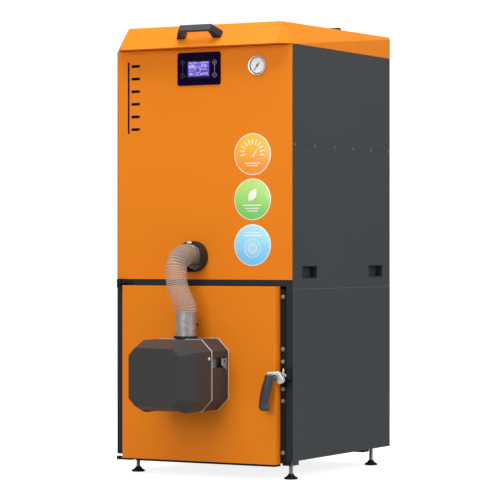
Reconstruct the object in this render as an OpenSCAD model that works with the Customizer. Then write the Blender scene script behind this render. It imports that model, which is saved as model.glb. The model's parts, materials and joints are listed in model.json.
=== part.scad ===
// Free-standing pellet heating boiler: a steel cabinet with a hopper under a hinged lid,
// a feed screw, a burner carried by a hinged door, and a heat exchanger at the rear.
// Millimetres, +Z up, front towards -Y. The origin is on the floor at the middle of the outline.
// Inside the modules y counts from the front panel's face towards the rear.

/* [Cabinet] */
// Width over the side panels
body_w = 600; // [580:2:680]
// Depth from the front panel's face to the rear panel's face
body_d = 654; // [640:2:740]
// Thickness of the casing sheet
sheet = 1.5; // [1:0.1:2]
// Height of the side panels' lower edge
base_z = 57; // [54:1:64]
// Height of the seam between the lower and middle side panels
low_seam_z = 557; // [545:1:562]
// Height of the seam between the middle and upper side panels
high_seam_z = 979; // [900:1:1060]
// Height of the lid's lower edge
lid_z = 1271; // [1268:1:1330]
// Width of each front post
post_w = 21.5; // [16:0.5:23]
// Depth of each front post
post_d = 22; // [15:1:24]
// Height of the front cross rail above the door
rail_h = 18; // [12:1:26]
// Gap that parts neighbouring casing sheets
seam_gap = 0.6; // [0.4:0.1:0.9]

/* [Lid] */
// Height of the lid above its lower edge
lid_h = 68; // [55:1:85]
// Overhang of the lid's lower edge past the front panel
lid_overhang = 43; // [30:1:55]
// Set-back of the lid's upper edge behind the front panel's face
lid_top_set = 3; // [0:1:12]
// Inset of the front facet's lower corners from the lid's sides
lid_front_in = 36; // [20:1:60]
// Inset of the front facet's upper corners from the lid's sides
lid_crest_in = 39; // [25:1:65]
// Inset of the flat top's rear corners from the lid's sides
lid_tail_in = 4; // [1:0.5:12]
// Height of the upright side wall at the rear
lid_wall_h = 62; // [45:1:64]
// Distance from the front panel to the lid's hinge seam
lid_split = 424.5; // [415:0.5:445]
// Length of the lid handle over its feet
lid_handle_w = 150; // [120:2:200]
// Height of the lid handle's bar above the facet
lid_handle_rise = 40; // [28:1:50]

/* [Door] */
// Distance of the door's outer tray in from each side of the cabinet
door_margin = 39; // [36:0.5:50]
// Height of the door's outer tray
door_h = 518; // [500:1:520]
// Height of the door's lower edge
door_z = 48; // [46:1:52]
// Offset of the door's middle from the cabinet's middle
door_shift = -3; // [-5:0.5:0]
// Distance that the door's face stands in front of the front panel
door_proud = 30; // [24:1:40]
// Gap between the door's backing plate and each front post
door_plate_gap = 2; // [1.5:0.5:7]
// Thickness of the door's backing plate
door_plate_t = 4; // [3:0.5:4.5]
// Radius of the door's hinge pins
hinge_pin_r = 4; // [3:0.25:5]
// Diameter of the bolt heads on the door's edge
bolt_head_d = 13; // [10:0.5:15]

/* [Burner] */
// Half width of the burner's octagon
burner_a = 104.5; // [98:0.5:112]
// Corner cut of the burner's octagon
burner_cut = 34.4; // [26:0.2:40]
// Half width of the cover's front face
nose_a = 83.5; // [74:0.5:92]
// Corner cut of the cover's front face
nose_cut = 21.2; // [15:0.2:26]
// Depth of the burner's fixed housing
housing_d = 99; // [90:1:110]
// Depth of the cover's straight part
cover_d = 88; // [80:1:100]
// Depth of the cover's faceted nose
nose_d = 65; // [50:1:75]
// Height of the burner's axis
burner_z = 307; // [300:1:312]
// Wall of the burner's sheet casings
shell_t = 2; // [1.5:0.1:2.5]
// Outer radius of the combustion tube
fire_r = 65; // [60:0.5:68]

/* [Pellet feed] */
// Outer radius of the pellet hose over its ribs
hose_r = 32; // [31:0.25:33]
// Bore radius of the pellet hose
hose_bore_r = 28; // [27.8:0.1:28.6]
// Number of ribs along the hose
hose_ribs = 56; // [30:1:80]
// Outer radius of the collar on the front panel
collar_r = 46; // [45:0.5:50]
// Length of the collar
collar_l = 26; // [18:1:30]
// Distance of the feed screw's axis left of the middle
feed_x = -30; // [-40:1:-20]
// Height of the feed screw's axis
feed_z = 652; // [648:1:660]
// Outer radius of the feed tube
feed_r = 40; // [38:0.5:41]

/* [Controls] */
// Width of the control panel's glass
glass_w = 147; // [130:1:160]
// Height of the control panel's glass
glass_h = 98; // [85:1:105]
// Height of the control panel's middle
glass_z = 1209; // [1190:1:1212]
// Offset of the control panel's middle from the cabinet's middle
glass_x = -14; // [-40:1:20]
// Outer radius of the dial thermometer
gauge_r = 29; // [26:0.5:34]
// Offset of the thermometer's middle from the cabinet's middle
gauge_x = 183; // [150:1:200]
// Height of the thermometer's middle
gauge_z = 1212; // [1180:1:1220]

/* [Feet] */
// Radius of each foot's pad
pad_r = 20; // [16:0.5:24]
// Radius of each foot's threaded rod
rod_r = 6; // [5:0.25:7]
// Inset of the feet from the cabinet's sides
foot_in_x = 38; // [34:0.5:44]
// Inset of the feet from the cabinet's front and rear
foot_in_y = 59.5; // [50:0.5:70]

/* [Connections] */
// Outer radius of the flue outlet
flue_r = 65; // [50:0.5:66]
// Outer radius of the flow and return pipes
pipe_r = 16.6; // [13:0.1:21]
// Reach of the flue outlet past the rear panel
flue_reach = 90; // [70:1:110]

/* [Hidden] */

$fn = 48;
// Overrun of every cut past the surface that it opens
over = 1;
// Depth by which the joined bodies of one piece run into each other
fuse = 1;
// Radial clearance of a turning shaft
run_gap = 0.05;
// Gap of a piece that is seated on or slipped into another
seat_gap = 0.3;

half_w = body_w / 2;
burner_reach = door_proud + housing_d + cover_d + nose_d;
front_y = burner_reach - (burner_reach + body_d + flue_reach) / 2;
rail_z = door_z + door_h;
panel_z = rail_z + rail_h + seam_gap;

// Base
base_t = 4;
base_front = 6;
base_margin = 1;
base_half = half_w - sheet - post_w - seam_gap;
base_end = body_d - 24;
front_rail_half = half_w - 62;
front_rail_d = 34;
front_rail_z = 38.5;
bearer_x = half_w - 130;
bearer_w = 40;
vessel_z = 80;
boss_r = 14;
boss_h = 14;
rear_rail_d = 40;

// Frame
post_top_z = lid_z - 9;
flange_w = 12;
post_step = 2;
heel_out = 38;
heel_in = 15;
heel_gap = 0.6;
heel_d = 20;
heel_z = 43.5;
tab_d = 37;
tab_z = 45;

// Grips in the middle side panels
grip_w = 98;
grip_h = 37.5;
grip_depth = 24;
grip_wall = 2;
grip_rise = 31;
grip_inset = 105;
grip_slack = 0.5;

// Front panel
panel_gap = 1.6;
arc_x = -14;
arc_w = 285;
arc_h = 7;

// Slots beside the panel's left edge
vent_x = 60 - half_w;
vent_z = 1129;
vent_h = 215;
vent_bar_w = 6;
vent_slot_w = 30;
vent_slot_h = 8;
vent_count = 6;
vent_step = 38;
vent_gap = 5;

// Boiler vessel
jacket_t = 5;
vessel_half = half_w - 70;
vessel_front = 26;
vessel_gap = 34;
vessel_end = body_d - vessel_gap;
vessel_top = rail_z + 34;
fire_half = vessel_half - 45;
fire_z = 130;
fire_top = rail_z - 61;
fire_end = vessel_end - 25;
tower_d = 150;
tower_front = vessel_end - tower_d;
tower_top = 1120;
smoke_half = half_w - 100;
smoke_set = 1;
smoke_end = vessel_end - smoke_set;
smoke_top = 1250;
smoke_t = 3;
tube_r = 26;
tube_t = 2.5;
tube_count = 5;
tube_step = 2 * smoke_half / tube_count;
tube_rows = 2;
tube_row_step = 60;
tube_row_in = 37;
tube_row_y = tower_front + tube_row_in;
tube_lip = 1;
strip_w = 16;
strip_t = 2;
strip_swing = 17;
strip_bends = 9;
strip_drop = 30;
hook_h = 3;
hatch_t = 6;
knob_r = 9;
knob_h = 8;
flue_t = 2;
flue_z = 1185;
flue_flange = 12;
pipe_wall = 3;
pipe_reach = 50;
flow_x = -half_w / 2;
flow_z = 1085;
return_x = half_w / 2;
return_z = 108;
drain_r = 10.5;
drain_x = -half_w / 2;
hex_r = 23;
hex_l = 9;
drain_hex_r = 15;
pan_half = fire_half - 35;
pan_front = 62;
pan_end = vessel_end - 80;
pan_h = 40;
pan_t = 2;
rear_hole_gap = 5;

// Hopper and feed
hopper_half = half_w - 30;
hopper_front = 70;
hopper_gap = 70;
hopper_end = tower_front - hopper_gap;
hopper_knee = 860;
hopper_rim = 1.5;
rim_front = 10;
rim_half = half_w - 10;
spout_half = 34;
spout_front = 128;
spout_end = hopper_end - 28;
feed_wall = 3;
feed_front = 8;
feed_end = hopper_end;
feed_frame_drop = 30;
feed_mouth_r = 26;
saddle_l = 20;
saddle_half = 22;
saddle_front = 60;
saddle_rear = hopper_end - 70;
screw_shaft_r = 8;
screw_r = 35;
screw_t = 4;
screw_pitch = 60;
screw_front = 14;
screw_slices_per_turn = 14;
gear_w = 80;
gear_d = 60;
motor_r = 28;
motor_l = 100;
shaft_in = 30;
collar_wall = 4;

// Route of the hose's axis, from the collar to the burner's spigot.
// Each row is x from the hose's upper end, y from the door's face, z from the burner's axis.
hose_points = [
    [0, 37, 350], [0, 20, 350], [0, 0, 350], [0, -25, 350], [0, -42, 347.5],
    [0, -57, 340.5], [0, -68.5, 330.5], [0, -75.5, 318], [0.5, -78.5, 303],
    [1, -80, 286], [4, -80.5, 268], [8.5, -80, 251], [14, -77.5, 235], [19.5, -74.6, 220],
    [24.3, -71.2, 206], [26.8, -69.3, 194], [27, -69, 181], [27, -69, 160], [27, -69, 137], [27, -69, 113.5]
];
hose_sides = 10;
hose_dip = 1.2;
rib_share = 0.5;

// Spigot on the burner
spigot_r = 27.7;
spigot_t = 2;
spigot_y = -69;
spigot_top = 187;
spigot_foot = 40.3;
spigot_ring_r = 35;
spigot_ring_h = 9;
clamp_t = 1.2;
clamp_w = 9;
clamp_y = -12;
clamp_box = [16, 10, 7];

// Controls
glass_t = 4;
glass_corner_r = 7;
control_in = 4.5;
control_d = 50;
control_slack = 1;
bezel_h = 7;
bezel_w = 4;
case_r = gauge_r - 3;
case_d = 28;
dial_t = 1;
dial_r = gauge_r - bezel_w - seat_gap;
lens_t = 1.5;
spindle_r = 1.2;
needle_l = 19;
needle_tail = 9;
needle_w = 1.6;
needle_tail_w = 4;
needle_t = 0.6;
needle_hub_r = 3.2;
needle_turn = 218;
needle_gap = 0.8;
spindle_in = 8;

// Lid
lid_wall = 1.5;
lid_corner_y = 2;
lid_opening_half = half_w - 38;
lid_opening_front = 78;
lid_opening_end = hopper_end - 8;
gasket_w = 14;
gasket_front = 56;
hinge_x = half_w - 86;
hinge_w = 50;
hinge_leaf = 34;
hinge_leaf_t = 3;
hinge_r = 7.5;
lid_pin_r = 3;
hinge_gap = 0.5;
hinge_clear = 1;
facet_run = lid_overhang + lid_top_set;
facet_turn = atan2(lid_h, facet_run);
handle_bar_h = 24;
handle_bar_t = 9;
handle_foot_w = 28;
handle_bar_inset = 17;
handle_foot_h = 5;

// Door
plate_front = 1;
plate_top = rail_z - 9;
plate_bottom = 50;
fire_hole_gap = 3;
board_half_w = half_w - 128;
board_z = 138;
board_top = rail_z - 70;
board_end = 33;
rope_half_w = half_w - 98;
rope_w = 20;
rope_z = 108;
rope_top = rail_z - 38;
pivot_x = 13 - half_w;
pivot_y = -11;
eye_r = 7;
top_eye_z = rail_z - 8;
top_eye_h = 12.6;
low_eye_z = 46.4;
low_eye_h = 5.2;
low_knuckle_z = 41;
low_plate_t = 3;
arm_d = 10;
arm_h = 5;
arm_end = 72 - half_w;
arm_leaf = 25;
arm_leaf_h = 18;
top_plate_t = 5;
top_knuckle_h = 13;
bracket_t = 3;
bracket_x = 57 - half_w;
bracket_w = 27;
bracket_z = rail_z + 1;
bracket_h = 11;
bracket_bolt_r = 3.5;
bracket_bolt_h = 2.5;
bracket_bolt_step = 11;
bracket_bolt_edge = 2;
bolt_x = half_w - 33;
bolt_h = 5.5;
// Places of the edge bolts, as shares of the backing plate's height above its lower edge
bolt_shares = [0.062, 0.36, 0.428, 0.585, 0.657, 0.957];

// Latch
latch_x = half_w - 33;
latch_z = 308;
stud_r = 5;
stud_l = 28;
hub_r = 8.5;
hub_near = 8;
latch_boss_gap = 2;
latch_boss_l = 13;
latch_boss_r = 12.5;
latch_boss_out = 3;
lobe_r = 12;
lobe_out = 12;
lobe_drop = 12;
lever_rise = 7;
lever_r = 5;
lever_foot = 3;
finger_y = -20;
finger_end = half_w - 10;
finger_h = 8;
finger_d = 8;
tee_r = 3;
tee_x = latch_x + 9;
tee_h = 19;
grip_x = latch_x - 13.5;
grip_foot_x = latch_x - 32;
grip_y = -62;
grip_top_z = 309.5;
grip_foot_z = 218;
grip_head = 8;
grip_r = 12;
grip_mid_r = 14.5;
grip_foot_r = 13.5;
grip_bow = 2;
heel_r = 8.5;
heel_run = 12.5;
heel_drop = 5;
ear_root_r = 8.5;
ear_r = 6;
ear_run = 11.5;
ear_back = 9;
ear_drop = 9;
tang_r = 5;
tang_l = 16;
cap_r = 6.5;
cap_h = 7;
cap_gap = 2.5;
keeper_x = half_w - 22;
keeper_h = 43;
keeper_t = 6;
tooth_w = 5;
tooth_d = 21;
tooth_h = 24;
tooth_gap = 1;

// Burner inside
tube_wall = 3;
tube_in = 240;
tube_front = -60;
feed_tube_r = 40;
feed_tube_wall = 2.5;
feed_tube_front = -126.5;
feed_tube_end = 40;
inlet_half = 27.4;
stoker_r = 36;
stoker_shaft_r = 6;
stoker_pitch = 50;
stoker_run = 4;
igniter_r = 5;
igniter_drop = 50;
igniter_l = 180;
igniter_cap_r = 9;
igniter_cap_l = 20;
blower_x = 55;
blower_drop = 52;
blower_r = 42;
blower_d = 40;
blower_wall = 3;
blower_motor_r = 22;
blower_motor_l = 32;
blower_mouth_r = 18;
blower_shaft_r = 3;
blower_shaft_in = 20;
wheel_r = 34;
wheel_hub_r = 9;
wheel_t = 2;
wheel_play = 4;
wheel_blades = 12;
blade_set = 1;
stoker_motor_w = 46;
stoker_motor_l = 52;
mount_t = 3;
rim_w = 8;
rim_t = 1.5;
rim_set = 1;
slab = 1;
shaft_play = 1;
tongue_l = 36;
tongue_h = 26;
tongue_t = 2.5;
cut_z = 36.5;
cut_h = 29;
cut_l = 83;
cover_gap = 0.5;
intake_in = 18;
intake_side = 8;
intake_rim = 14;
intake_h = 12;
thumb_r = 4.5;
thumb_l = 5;
thumb_shank_r = 3;
thumb_in = 8;
thumb_y = -19;
thumb_z = 50;

// Feet
pad_flat_h = 4;
pad_h = 15.5;
pad_neck_r = 9;
rod_top = 80;
rod_seat = 2;

// A box between two limits on each axis
module block(x0, x1, y0, y1, z0, z1) {
    translate([x0, y0, z0]) cube([x1 - x0, y1 - y0, z1 - z0]);
}

// An outline drawn in x and z, with its rear at y_rear and t thick towards the front
module outward(y_rear, t) {
    translate([0, y_rear, 0]) rotate([90, 0, 0]) linear_extrude(t) children();
}

// A round bar along y between two limits
module bar_y(x, z, y0, y1, r) {
    translate([x, y1, z]) rotate([90, 0, 0]) cylinder(r = r, h = y1 - y0);
}

// A round bar along x between two limits
module bar_x(y, z, x0, x1, r) {
    translate([x0, y, z]) rotate([0, 90, 0]) cylinder(r = r, h = x1 - x0);
}

// A round bar along z between two limits
module bar_z(x, y, z0, z1, r) {
    translate([x, y, z0]) cylinder(r = r, h = z1 - z0);
}

module both_sides() {
    children();
    mirror([1, 0, 0]) children();
}

function octagon(a, c) = [
    [-a, -a + c], [-a + c, -a], [a - c, -a], [a, -a + c],
    [a, a - c], [a - c, a], [-a + c, a], [-a, a - c]
];

module rounded(w, h, r) {
    hull() {
        for (sx = [-1, 1], sz = [-1, 1]) {
            translate([sx * (w / 2 - r), sz * (h / 2 - r)]) circle(r = r, $fn = 32);
        }
    }
}

// Base and frame

module foot_places(side) {
    for (y = [foot_in_y, body_d - foot_in_y]) {
        translate([side * (half_w - foot_in_x), y, 0]) children();
    }
}

module base_frame() {
    color("dimgray") difference() {
        union() {
            block(-base_half, base_half, base_front, base_end,
                base_z + base_margin, base_z + base_margin + base_t);
            block(-front_rail_half, front_rail_half, base_front, base_front + front_rail_d,
                front_rail_z, base_z + base_margin);
            block(-front_rail_half, front_rail_half, base_end - rear_rail_d, base_end,
                front_rail_z, base_z + base_margin);
            both_sides() block(bearer_x, bearer_x + bearer_w,
                base_front + front_rail_d, base_end - base_margin, base_z + base_margin + base_t, vessel_z);
            for (side = [-1, 1]) foot_places(side)
                translate([0, 0, base_z + base_margin]) cylinder(r = boss_r, h = base_t + boss_h);
        }
        for (side = [-1, 1]) foot_places(side) cylinder(r = rod_r + run_gap, h = vessel_z + boss_h);
    }
}

module front_post() {
    block(half_w - sheet - post_w, half_w - sheet - seam_gap, 0, post_d, base_z, rail_z + rail_h);
    block(half_w - sheet - post_w, half_w - 2 * sheet - 2 * seam_gap - sheet, post_step, post_d,
        rail_z + rail_h, post_top_z);
}

module front_frame() {
    color("dimgray") {
        both_sides() front_post();
        block(-half_w + sheet + post_w, half_w - sheet - post_w, 0, post_d, rail_z, rail_z + rail_h);
        block(half_w - heel_out, half_w - heel_in, plate_front + door_plate_t + heel_gap, heel_d,
            heel_z, base_z + fuse);
    }
}

// Casing

module panel_outline() {
    w = body_w - 2 * sheet - 2 * seam_gap;
    top = lid_z - panel_gap;
    arc_r = (arc_w * arc_w / 4 + arc_h * arc_h) / (2 * arc_h);
    difference() {
        translate([-w / 2, panel_z]) square([w, top - panel_z]);
        translate([arc_x, top - arc_h + arc_r]) circle(r = arc_r);
    }
}

module vent_outline() {
    translate([vent_x - vent_bar_w / 2 - vent_gap - vent_slot_w / 2, vent_z - vent_h / 2])
        square([vent_bar_w, vent_h]);
    for (i = [0:vent_count - 1]) {
        translate([vent_x - vent_slot_w / 2 + vent_gap,
            vent_z + (i - (vent_count - 1) / 2) * vent_step - vent_slot_h / 2])
            square([vent_slot_w, vent_slot_h]);
    }
}

module front_panel() {
    inner = half_w - sheet - seam_gap;
    color("darkorange") {
        difference() {
            outward(sheet, sheet) difference() {
                panel_outline();
                translate([glass_x, glass_z]) square([glass_w - 2 * control_in + control_slack,
                    glass_h - 2 * control_in + control_slack], center = true);
                vent_outline();
            }
            bar_y(gauge_x, gauge_z, -over, sheet + over, case_r + seat_gap);
            bar_y(feed_x, feed_z, -over, sheet + over, collar_r - collar_wall + seat_gap);
        }
        both_sides() block(inner - sheet, inner, sheet, post_d, panel_z, lid_z - panel_gap);
    }
}

module side_panel(z0, z1) {
    block(half_w - sheet, half_w, 0, body_d - sheet - seam_gap, z0, z1);
    for (z = [z0, z1 - sheet])
        block(half_w - sheet - flange_w, half_w - sheet, post_d + seam_gap, body_d - sheet - flange_w,
            z, z + sheet);
}

module side_lower() {
    side_panel(base_z, low_seam_z);
}

module grip_centres() {
    for (y = [grip_inset, body_d - grip_inset])
        translate([0, y, low_seam_z + grip_rise + grip_h / 2]) children();
}

module side_middle() {
    difference() {
        side_panel(low_seam_z + seam_gap, high_seam_z);
        grip_centres() block(half_w - sheet - over, half_w + over, -grip_w / 2 - grip_slack,
            grip_w / 2 + grip_slack, -grip_h / 2 - grip_slack, grip_h / 2 + grip_slack);
    }
}

module side_upper() {
    side_panel(high_seam_z + seam_gap, lid_z - seam_gap);
}

module side_right_lower() {
    color("dimgray") {
        side_lower();
        block(half_w - sheet, half_w, 0, tab_d, tab_z, base_z + fuse);
    }
}

module side_right_middle() { color("dimgray") side_middle(); }
module side_right_upper() { color("dimgray") side_upper(); }
module side_left_lower() { color("dimgray") mirror([1, 0, 0]) side_lower(); }
module side_left_middle() { color("dimgray") mirror([1, 0, 0]) side_middle(); }
module side_left_upper() { color("dimgray") mirror([1, 0, 0]) side_upper(); }

module grip_cup() {
    w = grip_w / 2;
    h = grip_h / 2;
    difference() {
        block(half_w - grip_depth, half_w, -w, w, -h, h);
        block(half_w - grip_depth + grip_wall, half_w + over, -w + grip_wall, w - grip_wall,
            -h + grip_wall, h - grip_wall);
    }
}

module grip_cups() {
    color("black") both_sides() grip_centres() grip_cup();
}

module rear_panel() {
    reach = half_w - sheet - seam_gap;
    color("dimgray") difference() {
        union() {
            block(-reach, reach, body_d - sheet, body_d, base_z, lid_z - seam_gap);
            both_sides() block(reach - sheet, reach, body_d - flange_w, body_d - sheet,
                base_z, lid_z - seam_gap);
        }
        bar_y(0, flue_z, body_d - sheet - over, body_d + over, flue_r + rear_hole_gap);
        bar_y(flow_x, flow_z, body_d - sheet - over, body_d + over, pipe_r + rear_hole_gap);
        bar_y(return_x, return_z, body_d - sheet - over, body_d + over, pipe_r + rear_hole_gap);
        bar_y(drain_x, return_z, body_d - sheet - over, body_d + over, drain_r + rear_hole_gap);
    }
}

// Lid and rear hood, cut from one faceted form

module hood_form(t) {
    lf = half_w - lid_front_in - t;
    lc = half_w - lid_crest_in - t;
    lt = half_w - lid_tail_in - t;
    hw = half_w - t;
    yf = -lid_overhang + t;
    yc = lid_corner_y + t;
    yt = lid_top_set + t;
    yr = body_d - t;
    z0 = lid_z + t;
    z1 = lid_z + lid_h - t;
    zs = lid_z + lid_wall_h - t;
    polyhedron(
        points = [
            [-lf, yf, z0], [lf, yf, z0], [hw, yc, z0], [hw, yr, z0], [-hw, yr, z0], [-hw, yc, z0],
            [-lc, yt, z1], [lc, yt, z1], [lt, yr, z1], [-lt, yr, z1], [hw, yr, zs], [-hw, yr, zs]
        ],
        faces = [
            [0, 1, 2], [0, 2, 5], [2, 3, 4], [2, 4, 5],
            [0, 6, 7], [0, 7, 1], [1, 7, 2], [0, 5, 6],
            [2, 7, 8], [2, 8, 10], [2, 10, 3], [5, 4, 11], [5, 11, 9], [5, 9, 6],
            [6, 9, 8], [6, 8, 7], [3, 10, 8], [3, 8, 9], [3, 9, 11], [3, 11, 4]
        ]
    );
}

module lid() {
    color("orange") difference() {
        intersection() {
            hood_form(0);
            block(-body_w, body_w, -body_w, lid_split - seam_gap, 0, lid_z + 2 * lid_h);
        }
        intersection() {
            hood_form(lid_wall);
            block(-body_w, body_w, -body_w, lid_split - seam_gap - lid_wall, 0, lid_z + 2 * lid_h);
        }
        block(-lid_opening_half, lid_opening_half, lid_opening_front, lid_opening_end,
            lid_z - over, lid_z + lid_wall + over);
    }
}

module rear_hood() {
    inner = half_w - sheet - flange_w;
    color("orange") difference() {
        intersection() {
            hood_form(0);
            block(-body_w, body_w, lid_split, body_d + over, 0, lid_z + 2 * lid_h);
        }
        intersection() {
            hood_form(lid_wall);
            block(-body_w, body_w, lid_split + lid_wall, body_d + over, 0, lid_z + 2 * lid_h);
        }
        block(-inner, inner, lid_split + flange_w, body_d - flange_w, lid_z - over, lid_z + lid_wall + over);
    }
}

module on_facet() {
    translate([0, (lid_top_set - lid_overhang) / 2, lid_z + lid_h / 2]) rotate([facet_turn, 0, 0]) children();
}

module lid_handle() {
    bar_half = lid_handle_w / 2 - handle_bar_inset - handle_foot_w / 2;
    color("dimgray") on_facet() {
        translate([-bar_half - handle_bar_t, -handle_bar_h / 2, lid_handle_rise - handle_bar_t])
            cube([2 * (bar_half + handle_bar_t), handle_bar_h, handle_bar_t]);
        both_sides() hull() {
            translate([lid_handle_w / 2 - handle_foot_w, -handle_bar_h / 2, 0])
                cube([handle_foot_w, handle_bar_h, handle_foot_h]);
            translate([bar_half, -handle_bar_h / 2, lid_handle_rise - handle_bar_t])
                cube([handle_bar_t, handle_bar_h, handle_bar_t]);
        }
    }
}

module hinge_barrel(x0, x1) {
    z = lid_z + lid_h + hinge_r;
    bar_x(lid_split, z, x0, x1, hinge_r);
}

module lid_hinge_bases() {
    top = lid_z + lid_h;
    third = hinge_w / 3;
    axis_z = top + hinge_r;
    color("black") both_sides() translate([hinge_x - hinge_w / 2, 0, 0]) {
        difference() {
            union() {
                for (x0 = [0, 2 * third]) {
                    hinge_barrel(x0, x0 + third);
                    block(x0, x0 + third, lid_split, lid_split + hinge_r + hinge_clear,
                        top, top + hinge_leaf_t);
                }
                block(0, hinge_w, lid_split + hinge_r + hinge_clear, lid_split + hinge_leaf,
                    top, top + hinge_leaf_t);
            }
            block(third - hinge_gap, 2 * third + hinge_gap, lid_split - hinge_r - over,
                lid_split + hinge_r + hinge_clear, top - over, top + 2 * hinge_r + over);
        }
        bar_x(lid_split, axis_z, 0, hinge_w, lid_pin_r);
    }
}

module lid_hinge_straps() {
    top = lid_z + lid_h;
    third = hinge_w / 3;
    axis_z = top + hinge_r;
    color("black") both_sides() translate([hinge_x - hinge_w / 2, 0, 0]) difference() {
        union() {
            hinge_barrel(third, 2 * third);
            block(third, 2 * third, lid_split - hinge_r - hinge_clear, lid_split, top, top + hinge_leaf_t);
            block(0, hinge_w, lid_split - hinge_leaf, lid_split - hinge_r - hinge_clear,
                top, top + hinge_leaf_t);
        }
        bar_x(lid_split, axis_z, -over, hinge_w + over, lid_pin_r + run_gap);
    }
}

module lid_gasket() {
    color("black") difference() {
        block(-lid_opening_half - gasket_w, lid_opening_half + gasket_w, gasket_front,
            lid_opening_end + gasket_w, post_top_z + hopper_rim + seat_gap, lid_z);
        block(-lid_opening_half - over, lid_opening_half + over, gasket_front + gasket_w,
            lid_opening_end + over, post_top_z, lid_z + over);
    }
}

// Boiler vessel

module tube_places() {
    for (row = [0:tube_rows - 1], i = [0:tube_count - 1]) {
        translate([(i - (tube_count - 1) / 2) * tube_step, tube_row_y + row * tube_row_step, 0]) children();
    }
}

module boiler_body() {
    j = jacket_t;
    color("slategray") difference() {
        union() {
            block(-vessel_half, vessel_half, vessel_front, vessel_end, vessel_z, vessel_top);
            block(-vessel_half, vessel_half, tower_front, vessel_end, vessel_top, tower_top);
            block(-smoke_half, smoke_half, tower_front + j, smoke_end, tower_top, smoke_top);
        }
        difference() {
            union() {
                block(-vessel_half + j, vessel_half - j, vessel_front + j, vessel_end - j,
                    vessel_z + j, vessel_top - j);
                block(-vessel_half + j, vessel_half - j, tower_front + j, vessel_end - j,
                    vessel_top - 2 * j, tower_top - j);
            }
            block(-fire_half - j, fire_half + j, vessel_front, fire_end + j, fire_z - j, fire_top + j);
        }
        block(-fire_half, fire_half, vessel_front - over, fire_end, fire_z, fire_top);
        block(-smoke_half + smoke_t, smoke_half - smoke_t, tower_front + j + smoke_t,
            smoke_end - smoke_t, tower_top, smoke_top + over);
        tube_places() bar_z(0, 0, fire_top - over, tower_top + over, tube_r + seat_gap);
        bar_y(0, flue_z, vessel_end - 2 * j, vessel_end + over, flue_r + seat_gap);
        bar_y(flow_x, flow_z, vessel_end - 2 * j, vessel_end + over, pipe_r + seat_gap);
        bar_y(return_x, return_z, vessel_end - 2 * j, vessel_end + over, pipe_r + seat_gap);
        bar_y(drain_x, return_z, vessel_end - 2 * j, vessel_end + over, drain_r + seat_gap);
    }
}

module exchanger_tubes() {
    run = (tower_top - strip_drop - fire_top - strip_drop) / strip_bends;
    color("silver") tube_places() {
        difference() {
            bar_z(0, 0, fire_top, tower_top + tube_lip, tube_r);
            bar_z(0, 0, fire_top - over, tower_top + tube_lip + over, tube_r - tube_t);
        }
        translate([0, strip_w / 2, 0]) rotate([90, 0, 0]) linear_extrude(strip_w) union() {
            for (i = [0:strip_bends - 1]) {
                z = fire_top + strip_drop + i * run;
                s = i % 2 == 0 ? 1 : -1;
                polygon([[-s * strip_swing, z], [-s * strip_swing + strip_t, z],
                    [s * strip_swing + strip_t, z + run], [s * strip_swing, z + run]]);
            }
            translate([-strip_t, tower_top - strip_drop - strip_t]) square([2 * strip_swing, strip_t]);
            translate([-strip_t, tower_top - strip_drop - strip_t])
                square([2 * strip_t, strip_drop + tube_lip + hook_h + strip_t]);
            translate([-tube_r, tower_top + tube_lip]) square([2 * tube_r, hook_h]);
        }
    }
}

module exchanger_hatch() {
    color("dimgray") {
        block(-smoke_half, smoke_half, tower_front + jacket_t, smoke_end, smoke_top, smoke_top + hatch_t);
        both_sides() bar_z(smoke_half / 2, (tower_front + vessel_end) / 2,
            smoke_top + hatch_t, smoke_top + hatch_t + knob_h, knob_r);
    }
}

module flue_outlet() {
    color("silver") difference() {
        union() {
            bar_y(0, flue_z, smoke_end - smoke_t, body_d + flue_reach, flue_r);
            bar_y(0, flue_z, vessel_end, vessel_end + 2 * flue_t, flue_r + flue_flange);
        }
        bar_y(0, flue_z, smoke_end - smoke_t - over, body_d + flue_reach + over, flue_r - flue_t);
    }
}

module pipe_stub(x, z, r, hex) {
    difference() {
        union() {
            bar_y(x, z, vessel_end - jacket_t, body_d + pipe_reach, r);
            translate([x, vessel_end + hex_l, z]) rotate([90, 0, 0]) cylinder(r = hex, h = hex_l, $fn = 6);
        }
        bar_y(x, z, vessel_end - jacket_t - over, body_d + pipe_reach + over, r - pipe_wall);
    }
}

module water_pipes() {
    color("goldenrod") {
        pipe_stub(flow_x, flow_z, pipe_r, hex_r);
        pipe_stub(return_x, return_z, pipe_r, hex_r);
        pipe_stub(drain_x, return_z, drain_r, drain_hex_r);
    }
}

module ash_pan() {
    z = fire_z + seat_gap;
    color("dimgray") difference() {
        block(-pan_half, pan_half, pan_front, pan_end, z, z + pan_h);
        block(-pan_half + pan_t, pan_half - pan_t, pan_front + pan_t, pan_end - pan_t,
            z + pan_t, z + pan_h + over);
    }
}

// Hopper and feed

module hopper_form(t) {
    hull() {
        block(-hopper_half + t, hopper_half - t, hopper_front + t, hopper_end - t, hopper_knee, post_top_z);
        block(feed_x - spout_half + t, feed_x + spout_half - t, spout_front + t, spout_end - t,
            feed_z + feed_r, feed_z + feed_r + sheet);
    }
}

module hopper() {
    color("lightgray") difference() {
        union() {
            hopper_form(0);
            block(-rim_half, rim_half, rim_front, hopper_end + gasket_w, post_top_z, post_top_z + hopper_rim);
        }
        hopper_form(sheet);
        block(feed_x - spout_half + sheet, feed_x + spout_half - sheet, spout_front + sheet,
            spout_end - sheet, feed_z + feed_r - over, feed_z + feed_r + 2 * sheet);
        block(-hopper_half + sheet, hopper_half - sheet, hopper_front + sheet, hopper_end - sheet,
            post_top_z - over, post_top_z + hopper_rim + over);
    }
}

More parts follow.
